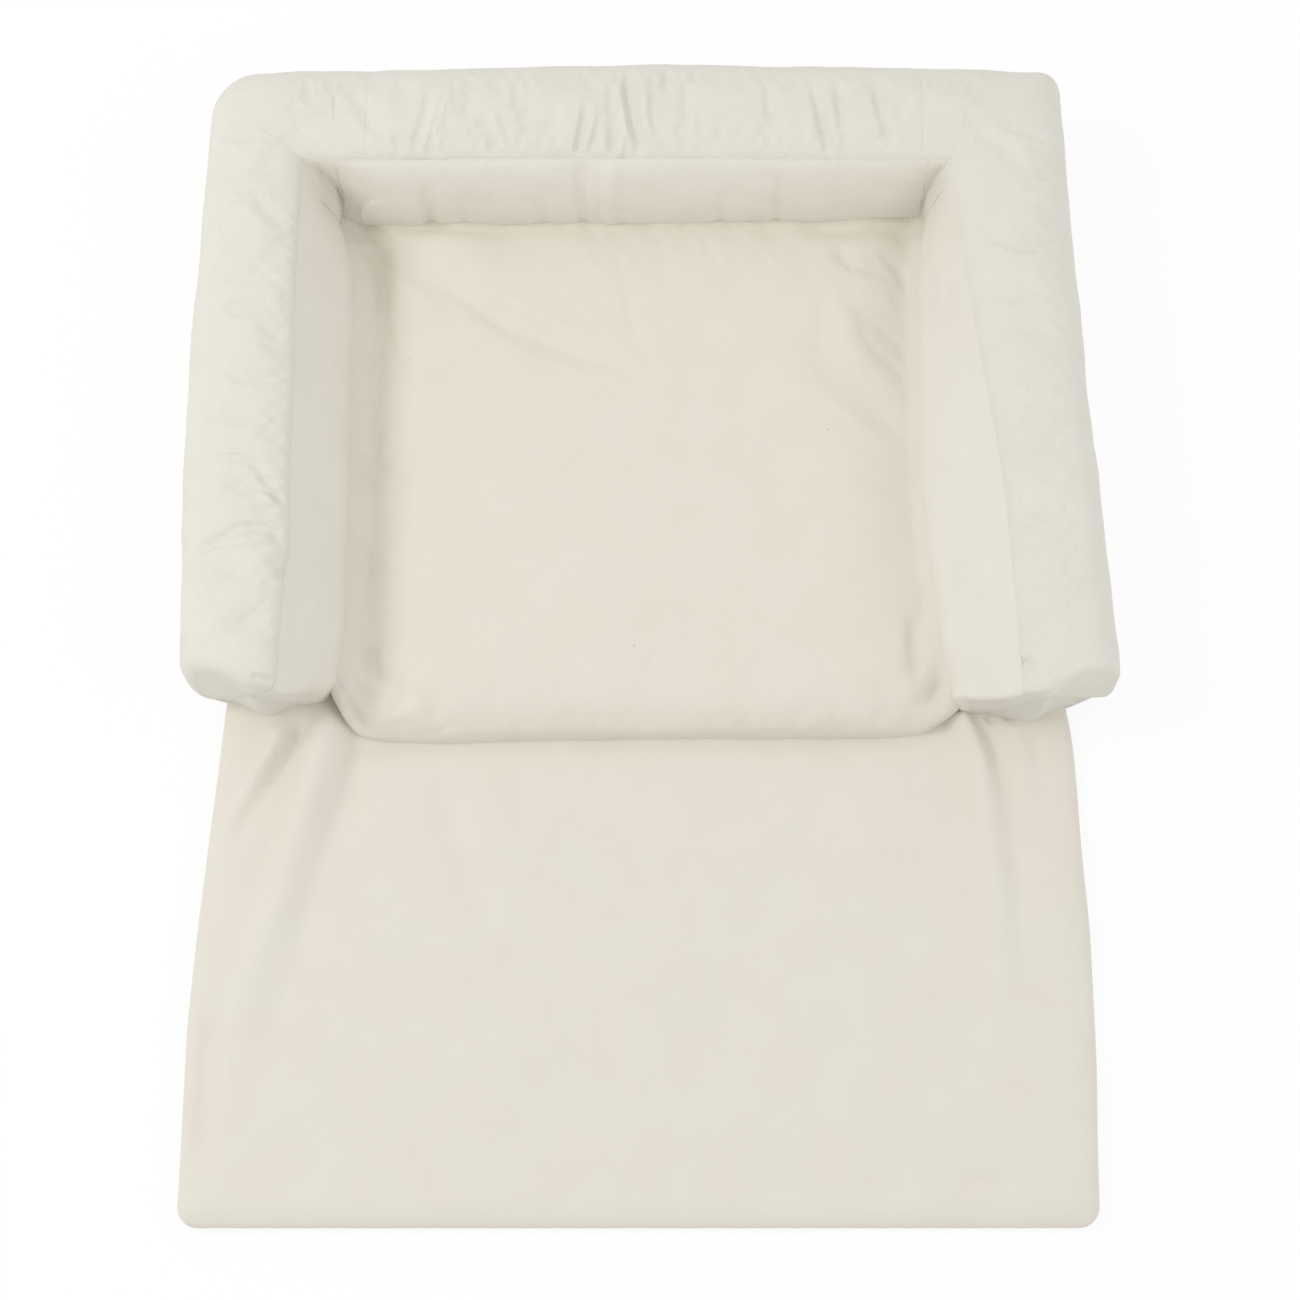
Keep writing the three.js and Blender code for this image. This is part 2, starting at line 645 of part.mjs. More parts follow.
/** The base cloth of a stretch of the apron, from under its nose along the floor to its end. */
function apronBase(hingeY, ends) {
  const columns = mirroredColumns([
    (half) => ({ x: half, full: 0 }), (half) => ({ x: half - CLOTH - SEAM_GAP, full: 0 }),
    (half) => ({ x: half - APRON_EDGE_ROUND, full: 1 }),
  ]);
  const flat = ends.map((y) => (inset) => ({ y, reach: 0, z: inset }));
  const rows = [...noseRows(hingeY, -1), ...flat];
  const skin = apronGrid(rows, columns, 0, 0, false);
  const lining = apronGrid(rows, columns, CLOTH, CLOTH, false);
  const noseTip = skin[0].concat(lining[0]);
  noseTip.forEach((point) => { point.z = Math.max(0, point.z - SEAM_GAP); });
  return panelSolid(skin, lining);
}

/** The wadding of a stretch of the apron, between its cloths. */
function apronWadding(hingeY, endY) {
  const inset = CLOTH + FILLING_GAP;
  const upper = noseRows(hingeY, 1).reverse();
  const lower = noseRows(hingeY, -1).slice(1);
  const profile = [(depth) => ({ y: endY, reach: 0, z: APRON_THICKNESS - depth }), ...upper, ...lower,
    (depth) => ({ y: endY, reach: 0, z: depth })];
  const ring = (side) => profile.map((row) => {
    const { y, reach, z } = row(inset);
    const half = apronHalf(y) - APRON_EDGE_ROUND - FILLING_GAP;
    return new THREE.Vector3(side * half, y + reach, z);
  });
  return ringSolid([ring(-1), ring(1)]);
}

/** Adds the apron: the stretch that turns at the crease and the one that turns at the lap line. */
function addApron() {
  const nearEndY = LAP_Y + FOLD_START;
  const frontRoundY = FRONT_Y + APRON_EDGE_ROUND;
  const cornerRows = [APRON_CORNER_RADIUS, APRON_EDGE_ROUND / 2, 0].map((distance) => FRONT_Y + distance);
  const nearRows = [...noseRows(FOLD_Y, 1), ...topRows(FOLD_Y, nearEndY, APRON_NEAR_ROWS)];
  const farRows = [
    ...noseRows(LAP_Y, 1), ...topRows(LAP_Y, frontRoundY, APRON_FAR_ROWS), ...frontRows(),
  ];
  addPiece(apronNear, 'apron_near_top', apronTop(nearRows), apronCloth);
  addPiece(apronNear, 'apron_near_wadding', apronWadding(FOLD_Y, nearEndY), stuffing);
  addPiece(apronNear, 'apron_near_base', apronBase(FOLD_Y, [nearEndY]), baseCloth);
  addPiece(apronFar, 'apron_far_top', apronTop(farRows), apronCloth);
  addPiece(apronFar, 'apron_far_wadding', apronWadding(LAP_Y, frontRoundY), stuffing);
  addPiece(apronFar, 'apron_far_base', apronBase(LAP_Y, cornerRows), baseCloth);
}

/** A box from its lowest to its highest corner. */
function boxBetween(low, high) {
  const size = new THREE.Vector3().subVectors(high, low);
  const centre = new THREE.Vector3().addVectors(high, low).multiplyScalar(1 / 2);
  return new THREE.BoxGeometry(size.x, size.y, size.z).translate(centre.x, centre.y, centre.z);
}

/** Adds the zip in the head's back wall, with its slider and pull. */
function addZip() {
  const tapeHalf = HEAD_SEAM_X - ZIP_TAPE_MARGIN;
  const tapeOuterY = BACK_Y - CLOTH - SEAM_GAP;
  const tapeInnerY = tapeOuterY - ZIP_TAPE_THICKNESS;
  const chainTopZ = ZIP_HEIGHT + ZIP_CHAIN_HEIGHT / 2;
  const chainBottomZ = ZIP_HEIGHT - ZIP_CHAIN_HEIGHT / 2;
  const tape = (lowZ) => boxBetween(
    new THREE.Vector3(-tapeHalf, tapeInnerY, lowZ),
    new THREE.Vector3(tapeHalf, tapeOuterY, lowZ + ZIP_TAPE_HEIGHT));
  addPiece(lounger, 'zip_tape_upper', tape(chainTopZ + SEAM_GAP), zipTapeCloth);
  addPiece(lounger, 'zip_tape_lower', tape(chainBottomZ - SEAM_GAP - ZIP_TAPE_HEIGHT), zipTapeCloth);
  const chainHalf = tapeHalf - ZIP_END_MARGIN;
  const chainFaceY = BACK_Y + ZIP_CHAIN_PROUD;
  addPiece(lounger, 'zip_chain', boxBetween(
    new THREE.Vector3(-chainHalf, tapeInnerY, chainBottomZ),
    new THREE.Vector3(chainHalf, chainFaceY, chainTopZ)), zipPlastic);
  addZipStop('zip_stop_left', -chainHalf - SEAM_GAP - ZIP_STOP_WIDTH, chainFaceY);
  addZipStop('zip_stop_right', chainHalf + SEAM_GAP, chainFaceY);
  addZipSlider(chainHalf, chainFaceY + SEAM_GAP);
}

/** Adds a stop beyond one end of the chain, given the stop's lowest X. */
function addZipStop(name, lowX, faceY) {
  const outerY = faceY + ZIP_STOP_DEPTH;
  addPiece(lounger, name, boxBetween(
    new THREE.Vector3(lowX, BACK_Y - CLOTH, ZIP_HEIGHT - ZIP_CHAIN_HEIGHT / 2),
    new THREE.Vector3(lowX + ZIP_STOP_WIDTH, outerY, ZIP_HEIGHT + ZIP_CHAIN_HEIGHT / 2)), zipMetal);
}

/** Adds the slider with its arch, parked at the left end, and the pull that hangs in the arch. */
function addZipSlider(chainHalf, plateY) {
  zipSlider.position.set(SLIDER_LENGTH / 2 - chainHalf, plateY, ZIP_HEIGHT);
  addPiece(zipSlider, 'zip_slider', sliderBody(), zipMetal);
  const pull = addPiece(zipPull, 'zip_pull', pullTab(), zipMetal);
  const pinY = SLIDER_PLATE + (ARCH_HEIGHT - ARCH_THICKNESS) / 2;
  zipPull.position.set(0, pinY, 0);
  pull.rotation.x = QUARTER_TURN;
  pull.position.y = PULL_THICKNESS / 2;
}

/** The slider's plate with the arch that the pull hangs in, lying along the chain. */
function sliderBody() {
  const halfArch = ARCH_LENGTH / 2;
  const halfPlate = SLIDER_LENGTH / 2;
  const archTop = SLIDER_PLATE + ARCH_HEIGHT;
  const innerTop = archTop - ARCH_THICKNESS;
  const plate = boxBetween(
    new THREE.Vector3(-halfPlate, 0, -SLIDER_HEIGHT / 2),
    new THREE.Vector3(halfPlate, SLIDER_PLATE, SLIDER_HEIGHT / 2));
  const rootY = SLIDER_PLATE / 2;
  const arch = new THREE.Shape([
    new THREE.Vector2(-halfArch, rootY), new THREE.Vector2(-halfArch, archTop),
    new THREE.Vector2(halfArch, archTop), new THREE.Vector2(halfArch, rootY),
    new THREE.Vector2(halfArch - ARCH_THICKNESS, rootY),
    new THREE.Vector2(halfArch - ARCH_THICKNESS, innerTop),
    new THREE.Vector2(ARCH_THICKNESS - halfArch, innerTop),
    new THREE.Vector2(ARCH_THICKNESS - halfArch, rootY),
  ]);
  return joined(plate, slab(arch, ARCH_WIDTH).translate(0, 0, -ARCH_WIDTH / 2));
}

/** The pull: a rounded tab with an eye, its pin end at the origin. */
function pullTab() {
  const half = PULL_WIDTH / 2;
  const pin = PULL_THICKNESS / 2;
  const shape = new THREE.Shape();
  shape.moveTo(-pin, -half);
  shape.lineTo(PULL_LENGTH - half, -half);
  shape.absarc(PULL_LENGTH - half, 0, half, -QUARTER_TURN, QUARTER_TURN, false);
  shape.lineTo(-pin, half);
  const eye = new THREE.Path([
    new THREE.Vector2(pin, -PULL_EYE_WIDTH / 2), new THREE.Vector2(pin, PULL_EYE_WIDTH / 2),
    new THREE.Vector2(pin + PULL_EYE_LENGTH, PULL_EYE_WIDTH / 2),
    new THREE.Vector2(pin + PULL_EYE_LENGTH, -PULL_EYE_WIDTH / 2),
  ]);
  shape.holes.push(eye);
  return new THREE.ExtrudeGeometry(
    shape, { depth: PULL_THICKNESS, bevelEnabled: false, curveSegments: CORNER_STEPS });
}

/** A point moved a distance towards another. */
function towards(point, target, distance) {
  return point.clone().add(target.clone().sub(point).setLength(distance));
}

/** Draws the first and last row of a grid in by half a seam gap. */
function trimRows(grid) {
  const last = grid.length - 1;
  const first = grid[0].map((point, index) => towards(point, grid[1][index], SEAM_GAP / 2));
  const end = grid[last].map((point, index) => towards(point, grid[last - 1][index], SEAM_GAP / 2));
  grid[0] = first;
  grid[last] = end;
}

/** A grid with all four edges drawn in by half a seam gap, clear of the panels sewn to it. */
function trimmed(grid) {
  trimRows(grid);
  for (const row of grid) {
    const last = row.length - 1;
    const first = towards(row[0], row[1], SEAM_GAP / 2);
    row[last] = towards(row[last], row[last - 1], SEAM_GAP / 2);
    row[0] = first;
  }
  return grid;
}

/** Turns points and triangles into a geometry whose faces point out. */
function facingOut(points, triangles) {
  const volume = triangles.reduce((sum, [a, b, c]) => (
    sum + points[a].dot(points[b].clone().cross(points[c]))), 0);
  const ordered = volume > 0 ? triangles : triangles.map(([a, b, c]) => [a, c, b]);
  const geometry = new THREE.BufferGeometry().setFromPoints(points);
  geometry.setIndex(ordered.flat());
  geometry.computeVertexNormals();
  return geometry;
}

/** Two triangles over four points in order round them. */
function quad(a, b, c, d) {
  return [[a, b, c], [a, c, d]];
}

/** A cloth between its skin and its lining, two grids of points of the same size. */
function panelSolid(skin, lining) {
  const rows = skin.length - 1;
  const columns = skin[0].length - 1;
  const top = (i, j) => i * (columns + 1) + j;
  const under = (i, j) => (rows + 1) * (columns + 1) + top(i, j);
  const triangles = [];
  for (let i = 0; i < rows; i += 1) {
    for (let j = 0; j < columns; j += 1) {
      triangles.push(...quad(top(i, j), top(i + 1, j), top(i + 1, j + 1), top(i, j + 1)));
      triangles.push(...quad(under(i, j), under(i, j + 1), under(i + 1, j + 1), under(i + 1, j)));
    }
    triangles.push(...quad(top(i + 1, 0), top(i, 0), under(i, 0), under(i + 1, 0)));
    triangles.push(...quad(
      top(i, columns), top(i + 1, columns), under(i + 1, columns), under(i, columns)));
  }
  for (let j = 0; j < columns; j += 1) {
    triangles.push(...quad(top(0, j), top(0, j + 1), under(0, j + 1), under(0, j)));
    triangles.push(...quad(top(rows, j + 1), top(rows, j), under(rows, j), under(rows, j + 1)));
  }
  return facingOut([...skin.flat(), ...lining.flat()], triangles);
}

/** The middle of a ring of points. */
function middle(ring) {
  const sum = ring.reduce((total, point) => total.add(point), new THREE.Vector3());
  return sum.multiplyScalar(1 / ring.length);
}

/** The quads between neighbouring closed rings of the same size. */
function bands(ringCount, size, offset) {
  const triangles = [];
  for (let i = 0; i + 1 < ringCount; i += 1) {
    for (let j = 0; j < size; j += 1) {
      const next = (j + 1) % size;
      const near = offset + i * size;
      triangles.push(...quad(near + j, near + size + j, near + size + next, near + next));
    }
  }
  return triangles;
}

/** A solid through closed rings of points, closed by a flat fan at each end. */
function ringSolid(rings) {
  const size = rings[0].length;
  const points = [...rings.flat(), middle(rings[0]), middle(rings[rings.length - 1])];
  const triangles = bands(rings.length, size, 0);
  const lastRing = (rings.length - 1) * size;
  for (let j = 0; j < size; j += 1) {
    const next = (j + 1) % size;
    triangles.push([points.length - 2, j, next]);
    triangles.push([points.length - 1, lastRing + next, lastRing + j]);
  }
  return facingOut(points, triangles);
}

/** A cap of cloth between a skin and a lining of closed rings that shrink towards its middle. */
function capSolid(skin, lining) {
  const size = skin[0].length;
  const lastSkin = (skin.length - 1) * size;
  const liningStart = skin.length * size;
  const skinMiddle = 2 * liningStart;
  const points = [
    ...skin.flat(), ...lining.flat(), middle(skin[skin.length - 1]), middle(lining[lining.length - 1]),
  ];
  const triangles = bands(skin.length, size, 0);
  triangles.push(...bands(lining.length, size, liningStart).map(([a, b, c]) => [a, c, b]));
  for (let j = 0; j < size; j += 1) {
    const next = (j + 1) % size;
    triangles.push([skinMiddle, lastSkin + next, lastSkin + j]);
    triangles.push([skinMiddle + 1, liningStart + lastSkin + j, liningStart + lastSkin + next]);
    triangles.push(...quad(j, next, liningStart + next, liningStart + j));
  }
  return facingOut(points, triangles);
}

/** A closed geometry as a solid that can be joined. */
function asManifold(geometry) {
  const plain = geometry.clone();
  plain.deleteAttribute('normal');
  plain.deleteAttribute('uv');
  const merged = mergeVertices(plain);
  const vertProperties = new Float32Array(merged.attributes.position.array);
  const triVerts = new Uint32Array(merged.index.array);
  return new wasm.Manifold(new wasm.Mesh({ numProp: 3, vertProperties, triVerts }));
}

/** Two closed geometries joined into one. */
function joined(first, second) {
  const mesh = asManifold(first).add(asManifold(second)).getMesh();
  const geometry = new THREE.BufferGeometry();
  geometry.setAttribute('position', new THREE.BufferAttribute(mesh.vertProperties, 3));
  geometry.setIndex(new THREE.BufferAttribute(mesh.triVerts, 1));
  geometry.computeVertexNormals();
  return geometry;
}
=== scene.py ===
"""Infant lounger: its cloth, stuffing, seams and zip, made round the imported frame.

A U-shaped stuffed bolster stands round a crowned pad, and a padded apron runs forward from the
open end. -Y is the apron end and +Y the head end. Sizes below are in millimetres where a value
is multiplied by MM, and every mesh is in metres.
"""

import logging
import math
from dataclasses import dataclass, field
from enum import IntEnum
from typing import Any, Sequence

import bmesh
import bpy
import numpy as np
from bpy.types import Material, Node, NodeTree, Object
from mathutils import Matrix, Vector


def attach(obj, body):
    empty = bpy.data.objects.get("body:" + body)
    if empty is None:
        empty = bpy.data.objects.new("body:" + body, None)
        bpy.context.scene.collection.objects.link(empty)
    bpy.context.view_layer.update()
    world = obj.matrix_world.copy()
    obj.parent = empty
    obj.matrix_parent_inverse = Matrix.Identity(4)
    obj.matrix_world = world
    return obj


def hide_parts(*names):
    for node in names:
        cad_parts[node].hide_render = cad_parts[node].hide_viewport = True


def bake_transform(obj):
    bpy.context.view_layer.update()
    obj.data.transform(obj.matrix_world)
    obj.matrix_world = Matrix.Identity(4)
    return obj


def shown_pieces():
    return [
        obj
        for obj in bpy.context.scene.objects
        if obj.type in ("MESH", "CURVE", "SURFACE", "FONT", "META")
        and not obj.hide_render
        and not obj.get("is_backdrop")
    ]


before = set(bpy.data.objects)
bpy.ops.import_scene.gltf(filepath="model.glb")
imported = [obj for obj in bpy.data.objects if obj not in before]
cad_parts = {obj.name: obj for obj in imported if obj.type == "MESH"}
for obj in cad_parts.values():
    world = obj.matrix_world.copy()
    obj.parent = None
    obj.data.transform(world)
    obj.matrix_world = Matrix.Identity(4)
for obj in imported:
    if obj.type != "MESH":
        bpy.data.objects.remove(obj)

MM = 0.001
LOG = logging.getLogger("lounger")
Array = np.ndarray
Span = tuple[float, float]
Triple = tuple[float, float, float]
Plan = Sequence[tuple[float, float]]

WAVES_IN_LUMPS = 22
WAVE_LENGTHS = (0.6, 1.4)
ROUTE_STEPS = 10
LEVELS_OF_HOLD = 10
UNDERSIDE_SHIFT = 1.0
SHARP_EDGE = math.radians(50)
OUTWARD_TURN = Matrix.Rotation(math.pi / 2, 4, "X")


class Side(IntEnum):
    """The side of the lounger, seen from the apron end, as the sign of X there."""

    LEFT = -1
    RIGHT = 1


def eased(low: float, high: float, value: Array) -> Array:
    """A smooth step from 0 at a low to 1 at a high value."""
    share = np.clip((value - low) / (high - low), 0.0, 1.0)
    return share * share * (3.0 - 2.0 * share)


def ramp(span: Span, value: Array) -> Array:
    """A smooth step over a span in mm, read at values in metres."""
    return eased(span[0] * MM, span[1] * MM, value)


def swell(share: Array) -> Array:
    """A round hump that is 1 in the middle and 0 from a share of 1 outwards."""
    return (1.0 - np.minimum(1.0, np.abs(share)) ** 2) ** 2


def through(places: Sequence[float], values: Sequence[float], at: Array) -> Array:
    """A smooth curve through chosen values that never overshoots them.

    Args:
        places: Rising places of the chosen values.
        values: The values at those places.
        at: Where to read the curve.

    Returns:
        The curve's values, level beyond the first and last place.
    """
    x, y = np.asarray(places, float), np.asarray(values, float)
    steps, slopes = np.diff(x), np.diff(y) / np.diff(x)
    tangents = np.zeros(len(x))
    tangents[0], tangents[-1] = slopes[0], slopes[-1]
    before, after = slopes[:-1], slopes[1:]
    same_way = before * after > 0
    weight_before, weight_after = 2 * steps[1:] + steps[:-1], steps[1:] + 2 * steps[:-1]
    with np.errstate(divide="ignore", invalid="ignore"):
        mean = (weight_before + weight_after) / (weight_before / before + weight_after / after)
    tangents[1:-1] = np.where(same_way, mean, 0.0)
    at = np.clip(at, x[0], x[-1])
    index = np.clip(np.searchsorted(x, at) - 1, 0, len(steps) - 1)
    share, step = (at - x[index]) / steps[index], steps[index]
    square, cube = share**2, share**3
    return (
        (2 * cube - 3 * square + 1) * y[index]
        + (cube - 2 * square + share) * step * tangents[index]
        + (3 * square - 2 * cube) * y[index + 1]
        + (cube - square) * step * tangents[index + 1]
    )


def curve(places: Sequence[float], chosen: Array, at: Array) -> Array:
    """A smooth curve through chosen pairs of values."""
    return np.stack([through(places, values, at) for values in chosen.T], axis=1)


@dataclass(frozen=True)
class Lumps:
    """Slow, even unevenness, as loose stuffing gives to a cover.

    Its height is in mm, and its size, from one swelling to the next, in metres.
    """

    height: float
    size: float
    seed: int

    def at(self, points: Array) -> Array:
        """How far the cover is lifted.

        Args:
            points: Places in metres, the last axis holding X, Y and Z.

        Returns:
            Heights about 0, in metres.
        """
        draw = np.random.default_rng(self.seed)
        waves = draw.normal(size=(WAVES_IN_LUMPS, 3))
        waves /= np.linalg.norm(waves, axis=1, keepdims=True)
        waves *= (2 * math.pi / self.size) * draw.uniform(*WAVE_LENGTHS, (WAVES_IN_LUMPS, 1))
        phases = draw.uniform(0, 2 * math.pi, WAVES_IN_LUMPS)
        level = np.cos(points @ waves.T + phases).sum(axis=-1) * math.sqrt(2 / WAVES_IN_LUMPS)
        return self.height * MM * level


@dataclass(frozen=True)
class Fold:
    """A fold or crease that runs along a route in plan. Sizes are in mm.

    Its reach is half its width, a crease has a rise below 0, and the fade is the shares of its
    length over which it grows and dies. A lean above 0 widens its right and narrows its left.
    """

    route: Plan
    reach: float
    rise: float
    fade: Span = (0.3, 0.3)
    lean: float = 0.0

    def line(self) -> Array:
        """The route as a smooth line of many short steps, in mm."""
        chosen = np.asarray(self.route, float)
        spans = np.linalg.norm(np.diff(chosen, axis=0), axis=1)
        places = np.concatenate([[0.0], np.cumsum(spans)])
        at = np.linspace(0, places[-1], ROUTE_STEPS * (len(chosen) - 1) + 1)
        return curve(places, chosen, at)

    def heights(self, x: Array, y: Array) -> Array:
        """How far the fold lifts the cloth.

        Args:
            x: Places across, in metres.
            y: Places along, in metres.

        Returns:
            Heights in metres, of the same shape as x.
        """
        line = self.line() * MM
        reach = self.reach * (1 + abs(self.lean)) * MM
        low, high = line.min(axis=0) - reach, line.max(axis=0) + reach
        near = (x > low[0]) & (x < high[0]) & (y > low[1]) & (y < high[1])
        lifted = np.zeros(x.shape)
        if not near.any():
            return lifted
        places = np.stack([x[near], y[near]], axis=-1)
        along, side = self._nearest(line, places)
        width = self.reach * MM * (1 + self.lean * np.sign(side))
        share = np.abs(side) / width
        start, end = self.fade
        strength = eased(0, max(start, 1e-6), along) * (1 - eased(1 - max(end, 1e-6), 1, along))
        lifted[near] = self.rise * MM * swell(share) * strength
        return lifted

    @staticmethod
    def _nearest(line: Array, places: Array) -> tuple[Array, Array]:
        """Where each place lies by the line.

        Args:
            line: The line's points.
            places: Places in plan.

        Returns:
            The share of the line's length at the nearest point, and the distance to it, above 0
            on the line's right.
        """
        starts, runs = line[:-1], np.diff(line, axis=0)
        lengths = np.linalg.norm(runs, axis=1)
        offsets = places[:, None, :] - starts[None, :, :]
        shares = np.clip((offsets * runs).sum(axis=2) / lengths**2, 0, 1)
        gaps = offsets - shares[..., None] * runs
        distances = np.linalg.norm(gaps, axis=2)
        best = distances.argmin(axis=1)
        rows = np.arange(len(places))
        passed = np.concatenate([[0], np.cumsum(lengths)])
        along = passed[best] + shares[rows, best] * lengths[best]
        gap, run = gaps[rows, best], runs[best]
        turn = gap[:, 0] * run[:, 1] - gap[:, 1] * run[:, 0]
        return along / lengths.sum(), np.where(turn >= 0, 1.0, -1.0) * distances[rows, best]


def folds(*rows: tuple[Any, ...]) -> tuple[Fold, ...]:
    """Folds, from rows of the X and Y along a fold's route and its further values."""
    return tuple(Fold(tuple(zip(row[0][::2], row[0][1::2])), *row[1:]) for row in rows)


def folded(chosen: Sequence[Fold], x: Array, y: Array) -> Array:
    """The sum of some folds' heights, in metres."""
    return sum((fold.heights(x, y) for fold in chosen), np.zeros(x.shape))


@dataclass
class Net:
    """A net of points over a cloth, whose columns may run round and meet.

    Points are rows by columns by X, Y and Z, in metres, and any further values that go along.
    """

    points: Array
    looped: bool = False

    def normals(self) -> Array:
        """The direction that the net faces at each point."""
        places = self.points[..., :3]
        along = np.gradient(places, axis=0)
        if self.looped:
            across = (np.roll(places, -1, axis=1) - np.roll(places, 1, axis=1)) / 2
        else:
            across = np.gradient(places, axis=1)
        facing = np.cross(along, across)
        length = np.linalg.norm(facing, axis=-1, keepdims=True)
        return facing / np.maximum(length, 1e-12)

    def lifted(self, heights: Array) -> "Net":
        """The net with each point moved along its normal by a height in metres."""
        moved = self.points.copy()
        moved[..., :3] += self.normals() * heights[..., None]
        return Net(moved, self.looped)

    def finer(self, rows_only: bool = False) -> "Net":
        """The net with points added between neighbours, on a smooth curve through them."""
        points = _between(self.points, 0, False)
        return Net(points if rows_only else _between(points, 1, self.looped), self.looped)

    def blurred(self, values: Array, passes: int) -> Array:
        """Values at the net's points, each averaged with its neighbours many times over.

        Args:
            values: A value, or some, for each point.
            passes: How often they are averaged.

        Returns:
            The averaged values.
        """
        for _ in range(passes):
            longer = np.concatenate([values[:1], values, values[-1:]])
            values = (longer[:-2] + 2 * values + longer[2:]) / 4
            if self.looped:
                sides = np.roll(values, 1, axis=1) + np.roll(values, -1, axis=1)
            else:
                wider = np.concatenate([values[:, :1], values, values[:, -1:]], axis=1)
                sides = wider[:, :-2] + wider[:, 2:]
            values = (sides + 2 * values) / 4
        return values

    def split_beside(self, axis: int, index: int, shares: Sequence[float]) -> "Net":
        """The net with lines added on both sides of one of its lines.

        Args:
            axis: 0 for a row, 1 for a column.
            index: The number of the line.
            shares: The places of the new lines, as shares of the gap to the next line.

        Returns:
            The longer net, whose line is now at index + len(shares).
        """
        lines = np.moveaxis(self.points, axis, 0)
        here, before, after = lines[index], lines[index - 1], lines[index + 1]
        low = [here + (before - here) * share for share in sorted(shares, reverse=True)]
        high = [here + (after - here) * share for share in sorted(shares)]
        added = np.concatenate([lines[:index], low, [here], high, lines[index + 1:]])
        return Net(np.moveaxis(added, 0, axis), self.looped)

    def cloth_places(self) -> Array:
        """Each point's place on the flat cloth, along the rows and across them, in metres."""
        spine = self.points[:, self.points.shape[1] // 2]
        along = np.concatenate([[0], np.cumsum(np.linalg.norm(np.diff(spine, axis=0), axis=1))])
        steps = np.linalg.norm(np.diff(self.points, axis=1), axis=2)
        across = np.concatenate([np.zeros((len(spine), 1)), np.cumsum(steps, axis=1)], axis=1)
        across -= across.mean(axis=1, keepdims=True)
        return np.stack([np.broadcast_to(along[:, None], across.shape), across], axis=-1)


def _between(points: Array, axis: int, looped: bool) -> Array:
    """Points with a new one set in every gap along an axis, on a curve through four neighbours.

    Args:
        points: The points.
        axis: Which axis to refine.
        looped: Whether the axis runs round and meets.

    Returns:
        The longer array.
    """
    moved = np.moveaxis(points, axis, 0)
    if looped:
        before, here, after, beyond = (np.roll(moved, shift, axis=0) for shift in (1, 0, -1, -2))
    else:
        first, last = 2 * moved[0] - moved[1], 2 * moved[-1] - moved[-2]
        longer = np.concatenate([first[None], moved, last[None]])
        before, here, after, beyond = longer[:-3], longer[1:-2], longer[2:-1], longer[3:]
    middles = (9 * (here + after) - before - beyond) / 16
    finer = np.empty((len(moved) + len(middles),) + moved.shape[1:])
    finer[0::2], finer[1::2] = moved, middles
    return np.moveaxis(finer, 0, axis)


@dataclass(frozen=True)
class Settling:
    """A short cloth simulation in which a cover with some slack settles round its stuffing.

    Only the small wrinkles that it makes are kept, so that the piece keeps its planned form, and
    no point moves further than most, in mm.
    """

    slack: float
    pressure: float = 4.0
    most: float = 3.0
    frames: int = 20
    smooth_passes: int = 24

    def moves(self, net: Net, held: Array) -> Array:
        """How the simulation moves a net's points.

        Args:
            net: The cover.
            held: How firmly each point is held, from 0 to 1.
        """
        start = net.points[..., :3]
        cover = self._cover(net)
        group = cover.vertex_groups.new(name="held")
        levels = np.round(held.ravel() * LEVELS_OF_HOLD).astype(int)
        for level in range(1, LEVELS_OF_HOLD + 1):
            points = np.flatnonzero(levels == level).tolist()
            group.add(points, level / LEVELS_OF_HOLD, "REPLACE")
        modifier = cover.modifiers.new("settling", "CLOTH")
        self._set_up(modifier)
        scene = bpy.context.scene
        for frame_number in range(1, self.frames + 1):
            scene.frame_set(frame_number)
        drawn = cover.evaluated_get(bpy.context.evaluated_depsgraph_get())
        settled = np.empty(start.size)
        drawn.data.vertices.foreach_get("co", settled)
        scene.frame_set(1)
        bpy.data.objects.remove(cover)
        moved = settled.reshape(start.shape) - start
        moved -= net.blurred(moved, self.smooth_passes)
        length = np.linalg.norm(moved, axis=-1, keepdims=True)
        limit = self.most * MM
        return moved * np.minimum(1, limit / np.maximum(length, 1e-9)) * (1 - held[..., None])

    @staticmethod
    def _cover(net: Net) -> Object:
        """The net as a mesh object for the simulation, its open ends closed."""
        shell = Shell()
        numbers = shell.add_points(net.points[..., :3], np.zeros(net.points.shape[:2] + (2,)))
        shell.add_quads(numbers, looped=net.looped)
        if net.looped:
            shell.faces += [tuple(numbers[0].tolist()), tuple(numbers[-1].tolist())]
        return shell.mesh_object("settling_cover")

    def _set_up(self, modifier: bpy.types.ClothModifier) -> None:
        """Sets the cloth's stiffness, push and hold."""
        cloth = modifier.settings
        cloth.quality = 5
        cloth.mass = 0.3
        cloth.tension_stiffness = cloth.compression_stiffness = 15.0
        cloth.shear_stiffness = 5.0
        cloth.bending_stiffness = 0.5
        cloth.use_pressure = True
        cloth.uniform_pressure_force = self.pressure
        cloth.shrink_min = -self.slack
        cloth.vertex_group_mass = "held"
        cloth.effector_weights.gravity = 0.0
        modifier.collision_settings.use_collision = False
        modifier.point_cache.frame_end = self.frames


